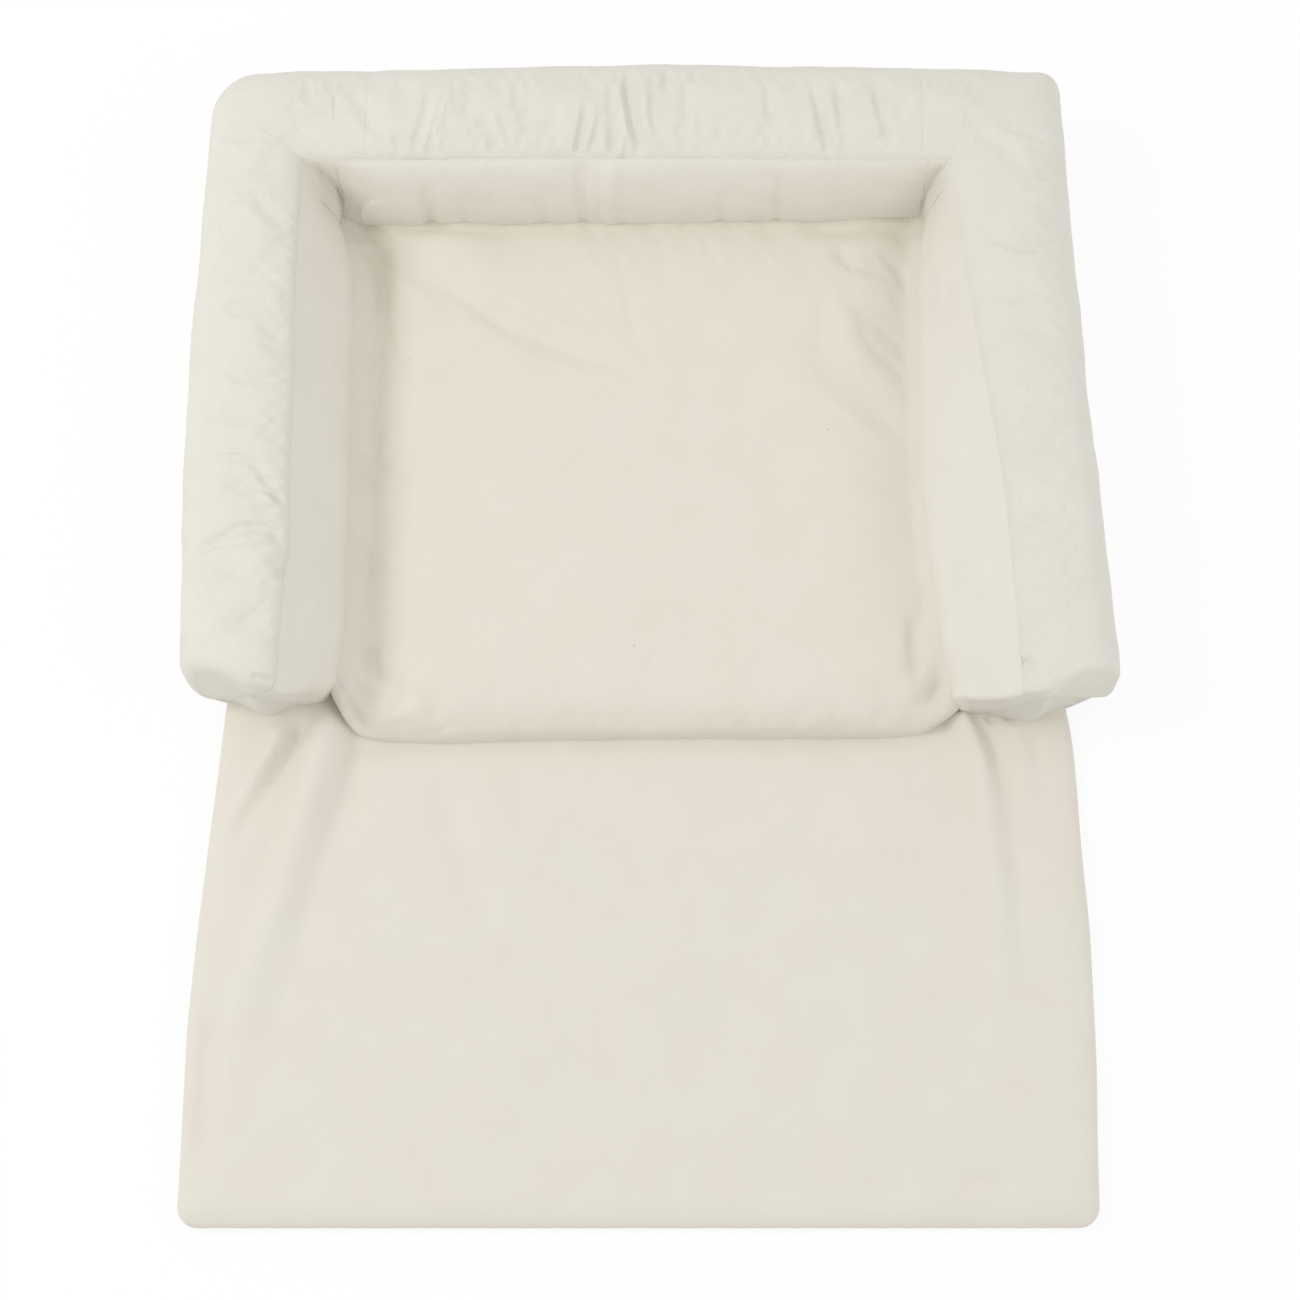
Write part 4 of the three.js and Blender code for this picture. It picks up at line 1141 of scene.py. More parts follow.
@dataclass(frozen=True)
class ZipSlot:
    """The slot for the zip in the back wall, between two soft lips. Sizes are in mm.

    Its form is, for each line of the net, the distance from the middle line and the place along Y.
    """

    height: float = 34.0
    half: float = 191.0
    fade: float = 10.0
    form: Plan = ((0, 396.5), (3.1, 396.5), (3.3, 399.9), (4.2, 400.7))
    beside: tuple[float, ...] = (0.35, 0.7)
    lip_face: float = 400.5
    lip_span: Span = (5.0, 13.0)
    back: float = 380.0
    far_column: int = 4

    def cut(self, net: Net) -> Net:
        """The net with the slot let into it.

        Args:
            net: The bolster's cover.

        Returns:
            The finer net.
        """
        middle = net.points.shape[0] // 2
        on_back = net.points[middle, :, 1] > self.back * MM
        gaps = np.abs(net.points[middle, :, 2] - self.height * MM)
        column = int(np.where(on_back, gaps, 1.0).argmin())
        net = net.split_beside(1, column, self.beside)
        column += len(self.beside)
        x, y = net.points[:, column, 0], net.points[:, column, 1]
        cut = (y > self.back * MM) * (1 - ramp((self.half, self.half + self.fade), np.abs(x)))
        near, far = net.points[middle, [column, column + self.far_column], 2]
        above = 1 if far > near else -1
        for offset, (lift, depth) in enumerate(self.form):
            for side in (-1, 1) if offset else (1,):
                points = net.points[:, column + side * offset]
                height = (self.height + side * above * lift) * MM
                points[:, 2] += (height - points[:, 2]) * cut
                points[:, 1] += (depth * MM - points[:, 1]) * cut
        outside = np.abs(np.arange(net.points.shape[1]) - column) >= len(self.form)
        gap = np.abs(net.points[..., 2] - self.height * MM)
        share = (1 - ramp(self.lip_span, gap)) * (net.points[..., 1] > self.back * MM) * outside
        raised = np.maximum(0, self.lip_face * MM - net.points[..., 1])
        net.points[..., 1] += raised * share * cut[:, None]
        return net


@dataclass
class Bolster:
    """The stuffed cover: head run, two arms and their inner walls, as one closed body.

    Sizes are in mm. A wall's form is pairs of the share of its width, from the pad to the seam,
    and a height. The crown is pairs of the share of the width from seam to outside and a height,
    and the columns under it lie at more such shares.
    """

    finishes: Finishes
    left: ArmPlan = LEFT_ARM
    right: ArmPlan = RIGHT_ARM
    head: HeadPlan = HeadPlan()
    height: float = 113.0
    floor_height: float = 1.5
    spacing: float = 4.8
    nook_radius: float = 4.0
    straight_wall: Plan = (
        (0.16, 1.5), (0.16, 15), (0.12, 26), (0.03, 34), (0, 40), (0.03, 46), (0.12, 53),
        (0.27, 61), (0.45, 71), (0.63, 81), (0.8, 90.5), (0.92, 98), (1, 103.5),
    )
    rolled_wall: Plan = (
        (0.2, 1.5), (0.2, 15), (0.15, 26), (0.04, 34.5), (0, 43), (0.01, 51), (0.05, 60),
        (0.13, 69), (0.25, 78), (0.41, 86.5), (0.6, 94), (0.8, 99.7), (1, 103.5),
    )
    crown: Plan = (
        (0, 103.5), (0.03, 106.4), (0.08, 109), (0.15, 111.2), (0.25, 112.7), (0.38, 113),
        (0.52, 112.4), (0.65, 110.3), (0.77, 106.2), (0.86, 100), (0.92, 92.5), (0.96, 83),
        (0.985, 72), (0.997, 60), (1, 48), (0.998, 34), (0.99, 20), (0.97, 8), (0.945, 1.5),
    )
    crown_width: float = 84.0
    under: tuple[float, ...] = (0.72, 0.5, 0.28, 0.1)
    end_turns: int = 9
    end_squat: float = 0.9
    end_rings: tuple[float, ...] = (0.1, 0.22, 0.36, 0.52, 0.68, 0.84)
    end_bulge: float = 2.5
    seam_inset: float = 0.4
    roll_span: Span = (0.35, 0.65)
    corner_reach: float = 90.0
    corner_turns: int = 7
    valleys: tuple[Valley, Valley] = (Valley(21.0, 24.0), Valley(12.0, 18.0))
    top_seam: Seam = Seam(depth=0.22, draw=0.4, reach=3.5, beside=(0.3, 0.65))
    seam_lips: Span = (0.3, -0.1)
    cross_seam: Seam = Seam(depth=0.25, draw=0.3, reach=6.0, beside=(0.3,))
    cross_places: Span = (-191.0, 199.0)
    cross_columns: tuple[int, int] = (4, 20)
    cross_low: float = 60.0
    head_front: float = 300.0
    fold_strength: float = 0.82
    fold_facing: Span = (0.15, 0.6)
    wall_fold_rise: Span = (26.0, 40.0)
    foot_rise: Span = (4.0, 30.0)
    gathers: Lumps = Lumps(0.15, 0.014, 5)
    gather_reach: float = 5.0
    lumps: tuple[Lumps, ...] = (Lumps(0.3, 0.11, 3), Lumps(0.15, 0.026, 4))
    settling: Settling = Settling(slack=0.02, most=2.2)
    hold: Hold = Hold()
    slot: ZipSlot = ZipSlot()
    folds: tuple[Fold, ...] = HEAD_TOP_FOLDS + ARM_TOP_FOLDS
    wall_folds: tuple[Fold, ...] = HEAD_WALL_FOLDS

    def piece(self) -> Object:
        """The bolster, dressed and placed on the lounger."""
        net, seam = self._net(self._stations())
        nooks = [self._nook(plan) for plan in (self.left, self.right)]
        net.points[..., :3] += self.settling.moves(net, self.hold.at(net, seam, nooks))
        net = net.finer().finer(rows_only=True)
        seam *= 2
        self._hollow(net.points[:, : seam + 1], nooks)
        net, seam = self._seamed(net, seam)
        net = self.slot.cut(self._wrinkled(net, seam))
        shell = Shell()
        numbers = shell.add_points(net.points[..., :3], net.points[..., 3:])
        shell.add_quads(numbers, looped=True)
        for ring in (numbers[0], numbers[-1]):
            shell.close_ring(ring, self.end_rings, Vector((0, -self.end_bulge * MM, 0)))
        # the wall faces take the second finish, the cotton painted lighter to offset the shade on
        # them
        piece = shell.mesh_object("bolster", self.finishes.bolster, self.finishes.wall)
        rows, columns = net.points.shape[:2]
        on_wall = np.arange(len(shell.faces)) % columns < seam
        on_wall[(rows - 1) * columns:] = False
        piece.data.polygons.foreach_set("material_index", on_wall.astype(np.int32))
        return piece

    def _stations(self) -> list[Station]:
        """Every section from the left arm's end round the head to the right arm's end."""
        left, right = self._arm(self.left), self._arm(self.right)
        left_corner, right_corner = self._corner(self.left), self._corner(self.right)
        return left + left_corner + self._head_run() + right_corner[::-1] + right[::-1]

    def _nook(self, plan: ArmPlan) -> Array:
        """Where the arm's and the head's base creases meet."""
        y = self.head.base.chosen[0 if plan.side is Side.LEFT else -1][1]
        return np.array([plan.base.one(y), y])

    def _arm(self, plan: ArmPlan) -> list[Station]:
        """An arm's sections, which bend to its end's outline near the end.

        Args:
            plan: The arm's lines.

        Returns:
            The sections from its end to the cavity's corner.
        """
        front, radius = plan.front, plan.end_radius
        turns = np.linspace(math.pi / 2, 0, self.end_turns, endpoint=False)
        insets = list(radius * (1 - np.cos(turns)))
        ys = list(front + radius * (1 - np.sin(turns)))
        stop = self._nook(plan)[1] - self.nook_radius
        count = round((stop - front - radius) / self.spacing)
        ys += list(np.linspace(front + radius, stop, count, endpoint=False))
        stations = []
        for y, inset in zip(ys, insets + [0.0] * count):
            drawn = plan.side * inset
            inner = np.array([plan.base.one(y) + drawn * plan.inner_draw, y])
            seam = np.array([plan.seam.one(y) + drawn * self.seam_inset, y])
            outer = np.array([plan.outer.one(y) - drawn, y])
            near = 1 - float(eased(front, front + plan.end_bend, np.array(y)))
            stations.append(Station(inner, seam, outer, inset, 0.0, plan, near))
        return stations

    def _corner(self, plan: ArmPlan) -> list[Station]:
        """The sections that fan round the corner between an arm and the head.

        Args:
            plan: The arm's lines.

        Returns:
            The sections, the one beside the arm first.
        """
        nook = self._nook(plan)
        centre = nook - self.nook_radius * np.array([plan.side, 1.0])
        seam = np.array([plan.seam.one(nook[1]), self.head.seam.one(nook[0])])
        outline = self._corner_outline(plan, nook)
        stations = []
        for index, outer in enumerate(outline):
            share = index / (len(outline) - 1)
            turn = math.pi / 2 * index / (len(outline) - 1)
            way = np.array([plan.side * math.cos(turn), math.sin(turn)])
            inner = centre + self.nook_radius * way
            run = np.abs(outer - inner)
            part = float((np.abs(seam - inner) / np.maximum(run, 1e-6)).min())
            roll = float(eased(*self.roll_span, np.array(share)))
            stations.append(Station(inner, inner + (outer - inner) * part, outer, 0.0, roll))
        return stations

    def _corner_outline(self, plan: ArmPlan, nook: Array) -> list[Array]:
        """The outside of a corner in plan.

        Args:
            plan: The arm's lines.
            nook: The corner's nook.

        Returns:
            Points from beside the nook round to behind it.
        """
        side, radius, back = int(plan.side), plan.corner_radius, self.head.back
        centre_y = back.one(nook[0] + side * self.corner_reach) - radius
        centre = np.array([plan.outer.one(centre_y) - side * radius, centre_y])
        start = nook[1] - self.nook_radius
        ys = np.linspace(start, centre_y, round((centre_y - start) / self.spacing), endpoint=False)
        points = [np.array([plan.outer.one(y), y]) for y in ys]
        for turn in np.linspace(0, math.pi / 2, max(self.corner_turns, round(radius / 2))):
            points.append(centre + radius * np.array([side * math.cos(turn), math.sin(turn)]))
        stop = nook[0] - side * self.nook_radius
        count = round(abs(centre[0] - stop) / self.spacing)
        top = points[-1][1]
        for share in np.arange(1, count) / count:
            x = centre[0] + (stop - centre[0]) * share
            points.append(np.array([x, top + (back.one(x) - top) * min(1, 2 * share)]))
        return points

    def _head_run(self) -> list[Station]:
        """The head's sections between the cavity's corners."""
        start = self._nook(self.left)[0] + self.nook_radius
        end = self._nook(self.right)[0] - self.nook_radius
        xs = np.linspace(start, end, round((end - start) / self.spacing) + 1)
        lines = [line.at(xs) for line in (self.head.base, self.head.seam, self.head.back)]
        return [Station(*(np.array([x, line[i]]) for line in lines), 0.0, 1.0)
                for i, x in enumerate(xs)]

    def _sections(self) -> tuple[Array, Array, Array]:
        """The section's forms with even columns.

        Returns:
            The straight wall, the rolled wall and the crown with the underside.
        """
        steps = np.linspace(0, len(self.straight_wall) - 1, 2 * len(self.straight_wall) - 1)
        index = np.arange(len(self.straight_wall))
        walls = [curve(index, np.asarray(form), steps)
                 for form in (self.straight_wall, self.rolled_wall)]
        crown = np.asarray(self.crown)
        lengths = np.linalg.norm(np.diff(crown * [self.crown_width, 1.0], axis=0), axis=1)
        places = np.concatenate([[0], np.cumsum(lengths)])
        at = np.linspace(0, places[-1], round(places[-1] / self.spacing) + 1)[1:]
        bottom = [(share, self.floor_height) for share in self.under]
        return walls[0], walls[1], np.concatenate([curve(places, crown, at), bottom])

    def _net(self, stations: list[Station]) -> tuple[Net, int]:
        """The bolster's net, with each point's place on the cloth.

        Args:
            stations: The sections, one for each row.

        Returns:
            The net, and the column of the top seam.
        """
        straight, rolled, crown = self._sections()
        rows = []
        for station in stations:
            wall = straight + (rolled - straight) * station.roll
            squat = 1 - self.end_squat * station.inset / self.height
            inner_run = station.inner - station.seam
            outer_run = station.outer - station.seam
            plan = np.concatenate([
                station.inner - inner_run * wall[:, :1], station.seam + outer_run * crown[:, :1]])
            heights = np.concatenate([wall[:, 1], crown[:, 1]]) * squat
            plan[:, 1] += station.bent(plan, heights)
            arcs = np.linalg.norm(np.diff(np.column_stack([plan, heights]), axis=0), axis=1)
            place = np.concatenate([[0], np.cumsum(arcs)])
            place -= place[len(wall) - 1]
            out = outer_run / np.linalg.norm(outer_run)
            rows.append(np.column_stack([plan, heights, station.seam + out * place[:, None]]))
        return Net(np.array(rows) * MM, looped=True), len(straight) - 1

    def _hollow(self, wall: Array, nooks: Sequence[Array]) -> None:
        """Draws the head's wall in beside each arm's wall.

        Args:
            wall: The inner walls' points, changed in place.
            nooks: The left and right nook in plan, in mm.
        """
        for plan, nook, valley in zip((self.left, self.right), nooks, self.valleys):
            start = nook * MM
            level, across = start[1] / MM, start[0] / MM
            tip = np.array([plan.seam.one(level), self.head.seam.one(across)])
            valley.sink(wall, start, tip * MM, plan.side)

    def _seamed(self, net: Net, seam: int) -> tuple[Net, int]:
        """The net with fine lines beside its seams, drawn down along them.

        Args:
            net: The cover.
            seam: The column of the top seam.

        Returns:
            The finer net, and the seam's column in it.
        """
        net = net.split_beside(1, seam, self.top_seam.beside)
        seam += len(self.top_seam.beside)
        start, top = (seam + columns for columns in self.cross_columns)
        behind = net.points[:, seam, 1] > self.head_front * MM
        rows = [int(np.where(behind, np.abs(net.points[:, top, 0] - x * MM), 1.0).argmin())
                for x in self.cross_places]
        profile = self.top_seam.profile(net.points.shape[1], seam)
        profile[[seam - 1, seam + 1]] += np.array(self.seam_lips) * MM
        net = net.lifted(np.broadcast_to(profile, net.points.shape[:2]) * self._outward(net))
        for row in sorted(rows, reverse=True):
            net = net.split_beside(0, row, self.cross_seam.beside)
            heights = np.zeros(net.points.shape[:2])
            row += len(self.cross_seam.beside)
            heights[:, start:] = self.cross_seam.profile(net.points.shape[0], row)[:, None]
            heights *= net.points[..., 2] > self.cross_low * MM
            net = net.lifted(heights * self._outward(net))
        return net, seam

    def _wrinkled(self, net: Net, seam: int) -> Net:
        """The net with its folds and its stuffing's unevenness.

        Args:
            net: The cover.
            seam: The column of the top seam.

        Returns:
            The folded net.
        """
        points = net.points[..., :3]
        x, y, z = np.moveaxis(points, -1, 0)
        up = net.normals()[..., 2] * self._outward(net)
        heights = self.fold_strength * folded(self.folds, x, y) * eased(*self.fold_facing, up)
        columns = np.arange(net.points.shape[1])
        heights += folded(self.wall_folds, x, y) * ((columns < seam) * ramp(self.wall_fold_rise, z))
        beside_seam = np.exp(-((np.abs(columns - seam) / self.gather_reach) ** 2))
        heights += self.gathers.at(points) * beside_seam
        for lumps in self.lumps:
            heights += lumps.at(points)
        heights *= ramp(self.foot_rise, z)
        return net.lifted(heights * self._outward(net))

    @staticmethod
    def _outward(net: Net) -> float:
        """1 if the net's normals point out of the bolster, else -1."""
        middle_row = net.points.shape[0] // 2
        column = net.points[middle_row, :, 2].argmax()
        return 1.0 if net.normals()[middle_row, column, 2] > 0 else -1.0


PAD_FRONT = Line(((-214, -44), (-207, -57), (-200, -69), (-189, -78), (-165, -81.5), (-135, -82.5),
                  (-100, -81), (0, -79), (150, -78.5), (191, -76), (208, -68.5), (224, -57)))


@dataclass
class Pad:
    """The crowned pad between the arms. Sizes are in mm.

    A profile is pairs of the distance from an edge and the height of the cover there.
    """

    finishes: Finishes
    left: ArmPlan = LEFT_ARM
    right: ArmPlan = RIGHT_ARM
    front: Line = PAD_FRONT
    spacing: float = 3.0
    tuck: float = 6.0
    back: float = 322.0
    head_line: float = 301.0
    width: float = 420.0
    front_reach: float = 32.0
    front_turns: int = 17
    crease_height: float = 13.5
    corner_rise: float = 10.0
    corner_span: Span = (182.0, 206.0)
    corner_middle: float = 3.0
    crown_height: float = 46.5
    foot_height: float = 1.6
    foot_rings: tuple[float, ...] = (0.1, 0.4, 0.7)
    sewn_rows: float = 6.0
    settling: Settling = Settling(slack=0.01, most=1.2)
    lumps: tuple[Lumps, Lumps] = (Lumps(0.6, 0.11, 11), Lumps(0.15, 0.035, 12))
    left_profile: Plan = (
        (-6, 46.5), (-3, 42), (0, 38.5), (3, 36.8), (6, 35.5), (9, 33), (12, 29.5), (15, 27.3),
        (18, 27), (22, 29), (28, 34), (34, 38.5), (44, 42.5), (58, 45), (85, 46.5),
    )
    right_profile: Plan = (
        (-6, 46.5), (-3, 45.5), (0, 42.5), (3, 39.8), (6, 38), (10, 37), (14, 37.3), (20, 39),
        (26, 41), (36, 43.6), (50, 45.4), (75, 46.5),
    )
    head_profile: Plan = ((-7, 36), (0, 38), (5, 38.3), (9, 38.8), (13, 41), (17, 43.2), (24, 44.6),
                          (45, 45.8), (80, 46.5))
    folds: tuple[Fold, ...] = PAD_FOLDS

    def piece(self) -> Object:
        """The pad, dressed and placed on the lounger."""
        net = self._net()
        x, y, _ = np.moveaxis(net.points, -1, 0)
        broad, fine = (lumps.at(net.points) for lumps in self.lumps)
        free = self._free(net)
        net.points[..., 2] += (folded(self.folds, x, y) + (broad + fine)) * free
        net.points += self.settling.moves(net, 1 - free**2)
        shell = Shell()
        numbers = shell.add_points(net.points, net.cloth_places())
        shell.add_quads(numbers)
        ring = rim(numbers)
        lowered = np.concatenate(shell.points)[ring]
        lowered[:, 2] = self.foot_height * MM
        foot = shell.add_points(lowered, np.concatenate(shell.places)[ring])
        shell.add_quads(np.stack([ring, foot]), looped=True)
        shell.close_ring(foot, self.foot_rings, Vector((0, 0, 0)))
        return shell.mesh_object("pad", self.finishes.pad)

    def _free(self, net: Net) -> Array:
        """How free each point of the cover is to move, 0 where it is sewn down."""
        row, column = (np.minimum(np.arange(count), np.arange(count)[::-1])
                       for count in net.points.shape[:2])
        return eased(0, self.sewn_rows, np.minimum(row[:, None], column[None, :]).astype(float))

    def _net(self) -> Net:
        """The pad's top and front, from the head to the crease in front."""
        length = self.back - self.front.one(0.0)
        start = length - self.front_reach
        flat = np.arange(0, start, self.spacing)
        turns = np.linspace(math.pi / 2, 0, self.front_turns)
        rounded = length - self.front_reach * (1 - np.cos(turns))
        shares = np.concatenate([flat[flat < start - 1], rounded]) / length
        across = np.linspace(-1, 1, round(self.width / self.spacing) + 1)
        return Net(np.array([self._row(share, across, length) for share in shares]) * MM)

    def _row(self, share: float, across: Array, length: float) -> Array:
        """One row of the cover.

        Args:
            share: Its share of the way from head to front.
            across: The places of its points, from -1 to 1.
            length: That way's length.

        Returns:
            The row's points, in mm.
        """
        level = self.back - length * share
        left = self.left.base.one(level) - self.tuck
        right = self.right.base.one(level) + self.tuck
        x = left + (right - left) * (across + 1) / 2
        front = self.front.at(x)
        y = self.back + (front - self.back) * share
        drops = [self._drop(self.left_profile, x - self.left.base.at(y)),
                 self._drop(self.right_profile, self.right.base.at(y) - x),
                 self._drop(self.head_profile, self.head_line - y)]
        top = self.crown_height - (drops[0] ** 3 + drops[1] ** 3 + drops[2] ** 3) ** (1 / 3)
        near = np.clip((y - front) / self.front_reach, 0, 1)
        round_up = np.sqrt(1 - (1 - near) ** 2)
        corner = eased(*self.corner_span, np.abs(x - self.corner_middle))
        crease = self.crease_height + self.corner_rise * corner
        return np.column_stack([x, y, crease + (top - crease) * round_up])

    def _drop(self, profile: Plan, distance: Array) -> Array:
        """How far a profile lies below the crown at some distances from its edge."""
        return np.maximum(self.crown_height - Line(profile).at(distance), 0)


@dataclass
class Apron:
    """The padded apron in front, in two pieces that meet at the border. Sizes are in mm."""

    finishes: Finishes
    left_edge: Line = Line(((-407, -301.5), (-357, -301), (-291, -301), (-224, -298), (-155, -293),
                            (-92, -288), (-50, -285)))
    right_edge: Line = Line(((-407, 302), (-357, 303), (-291, 305), (-224, 305), (-155, 302),
                             (-92, 300), (-50, 296)))
    pad_front: Line = PAD_FRONT
    back_y: float = -40.0
    border_y: float = -160.0
    front_y: float = -407.3
    thickness: float = 17.0
    edge_height: float = 6.5
    edge_reach: float = 19.0
    half_width: float = 300.0
    corner_radius: float = 14.0
    spacing: float = 2.8
    border_gap: float = 0.12
    under_lift: float = 0.3
    front_turns: int = 10
    side_turns: int = 9
    fold_edge: Span = (0.0, 0.8)
    crease_draw: float = 3.5
    crease_reach: float = 9.0
    lumps: tuple[Lumps, Lumps] = (Lumps(0.6, 0.09, 21), Lumps(0.18, 0.03, 22))
    folds: tuple[Fold, ...] = APRON_FOLDS

    def pieces(self) -> tuple[Object, Object]:
        """The apron in two stretches."""
        ys = self._rows()
        top, bottom = self._nets(ys)
        border = int(np.argmin(np.abs(ys - self.border_y)))
        near, far = (self._body(top, bottom, rows)
                     for rows in (slice(0, border + 1), slice(border, len(ys))))
        return (near.mesh_object("apron_near", self.finishes.apron),
                far.mesh_object("apron_far", self.finishes.apron))

    def _rows(self) -> Array:
        """Places along the apron, closer together towards its front edge."""
        even = np.arange(self.back_y, self.front_y + self.edge_reach, -self.spacing)
        even = even[np.abs(even - self.border_y) > self.spacing / 2]
        close = self.border_y + self.border_gap * np.array([1, 0, -1])
        even = np.sort(np.concatenate([even, close]))[::-1]
        turns = np.linspace(0, math.pi / 2, self.front_turns)[1:]
        return np.concatenate([even, even[-1] - (even[-1] - self.front_y) * np.sin(turns)])

    def _columns(self) -> Array:
        """Places across the apron from -1 to 1, closer together towards its edges."""
        reach = self.edge_reach / self.half_width
        turns = np.linspace(0, math.pi / 2, self.side_turns)[:-1]
        edge = -1 + reach * (1 - np.cos(turns))
        flat = np.linspace(-1 + reach, 1 - reach, round(2 * self.half_width / self.spacing) + 1)
        return np.concatenate([edge, flat, -edge[::-1]])

    def _nets(self, ys: Array) -> tuple[Net, Net]:
        """The top and bottom cloth, which meet along the edges.

        Args:
            ys: The places of the rows, in mm.

        Returns:
            The net of each.
        """
        across = self._columns()
        cut = self._corner_cut(ys)
        left, right = self.left_edge.at(ys) + cut, self.right_edge.at(ys) - cut
        x = left[:, None] + (right - left)[:, None] * (across[None, :] + 1) / 2
        y = np.broadcast_to(ys[:, None], x.shape)
        inside = np.minimum(np.minimum(x - left[:, None], right[:, None] - x), y - self.front_y)
        share = np.clip(inside / self.edge_reach, 0, 1)
        top = self.edge_height + (self.thickness - self.edge_height) * np.sqrt(1 - (1 - share) ** 2)
        bottom = self.edge_height * (1 - np.sqrt(1 - (1 - share) ** 2)) + self.under_lift * share
        places = np.stack([x, y, top], axis=-1) * MM
        lift = folded(self.folds, places[..., 0], places[..., 1]) * eased(*self.fold_edge, share)
        broad, fine = (lumps.at(places) for lumps in self.lumps)
        lift += (broad + fine) * share
        to_crease = (self.pad_front.at(x) - y) / self.crease_reach
        lift -= self.crease_draw * MM * np.exp(-np.maximum(to_crease, 0) ** 2)
        places[..., 2] += lift
        return Net(places), Net(np.stack([x, y, bottom], axis=-1) * MM)

    def _corner_cut(self, ys: Array) -> Array:
        """How far the rounded corners cut in at each row."""
        within = np.clip(self.corner_radius - (ys - self.front_y), 0, self.corner_radius)
        return self.corner_radius - np.sqrt(self.corner_radius**2 - within**2)

    @staticmethod
    def _body(top: Net, bottom: Net, rows: slice) -> Shell:
        """A stretch of the apron as a closed body, its hidden walls first.

        Args:
            top: The whole top cloth.
            bottom: The whole bottom cloth.
            rows: The stretch's rows.

        Returns:
            The body.
        """
        shell = Shell()
        place, lower = top.cloth_places()[rows], bottom.points[rows]
        at_front = rows.stop == len(top.points)
        last = -1 if at_front else None
        ups = shell.add_points(top.points[rows], place)
        downs = ups.copy()
        under = place[:last, 1:-1] + [0.0, UNDERSIDE_SHIFT]
        downs[:last, 1:-1] = shell.add_points(lower[:last, 1:-1], under)
        for row in (0,) if at_front else (0, -1):
            shell.flat_faces.add(len(shell.faces))
            shell.faces.append(tuple(np.concatenate([ups[row], downs[row, -2:0:-1]]).tolist()))
        shell.add_quads(ups)
        shell.add_quads(downs)
        return shell


@dataclass
class BaseCloth:
    """The cloth under bolster and pad. Sizes are in mm."""

    finishes: Finishes
    left_edge: Line = Line(((-84, -204), (-70, -226), (-54, -268), (-34, -294), (0, -299),
                            (345, -296), (380, -288), (391, -270)))
    right_edge: Line = Line(((-84, 212), (-70, 236), (-56, 280), (-34, 306), (0, 309), (345, 294),
                             (380, 288), (391, 270)))
    front: float = -84.0
    back: float = 391.0
    thickness: float = 1.2
    floor_gap: float = 0.1
    width: float = 600.0
    spacing: float = 6.0

    def piece(self) -> Object:
        """The base cloth, closed all round."""
        ys = np.linspace(self.front, self.back, round((self.back - self.front) / self.spacing))
        across = np.linspace(0, 1, round(self.width / self.spacing))
        left, right = self.left_edge.at(ys)[:, None], self.right_edge.at(ys)[:, None]
        x = left + (right - left) * across[None, :]
        y = np.broadcast_to(ys[:, None], x.shape)
        low = np.stack([x, y, np.full(x.shape, self.floor_gap)], axis=-1) * MM
        places = Net(low).cloth_places()
        shell = Shell()
        high = low + [0, 0, self.thickness * MM]
        sides = [shell.add_points(points, places) for points in (high, low)]
        for numbers in sides:
            shell.add_quads(numbers)
        shell.add_quads(np.stack([rim(numbers) for numbers in sides]), looped=True)
        return shell.mesh_object("base_cloth", self.finishes.base)

    def flat_size(self) -> tuple[float, float]:
        """The width and length that it is cut to, in metres."""
        width = max(right - left for (_, left), (_, right)
                    in zip(self.left_edge.chosen, self.right_edge.chosen))
        return width * MM, (self.back - self.front) * MM


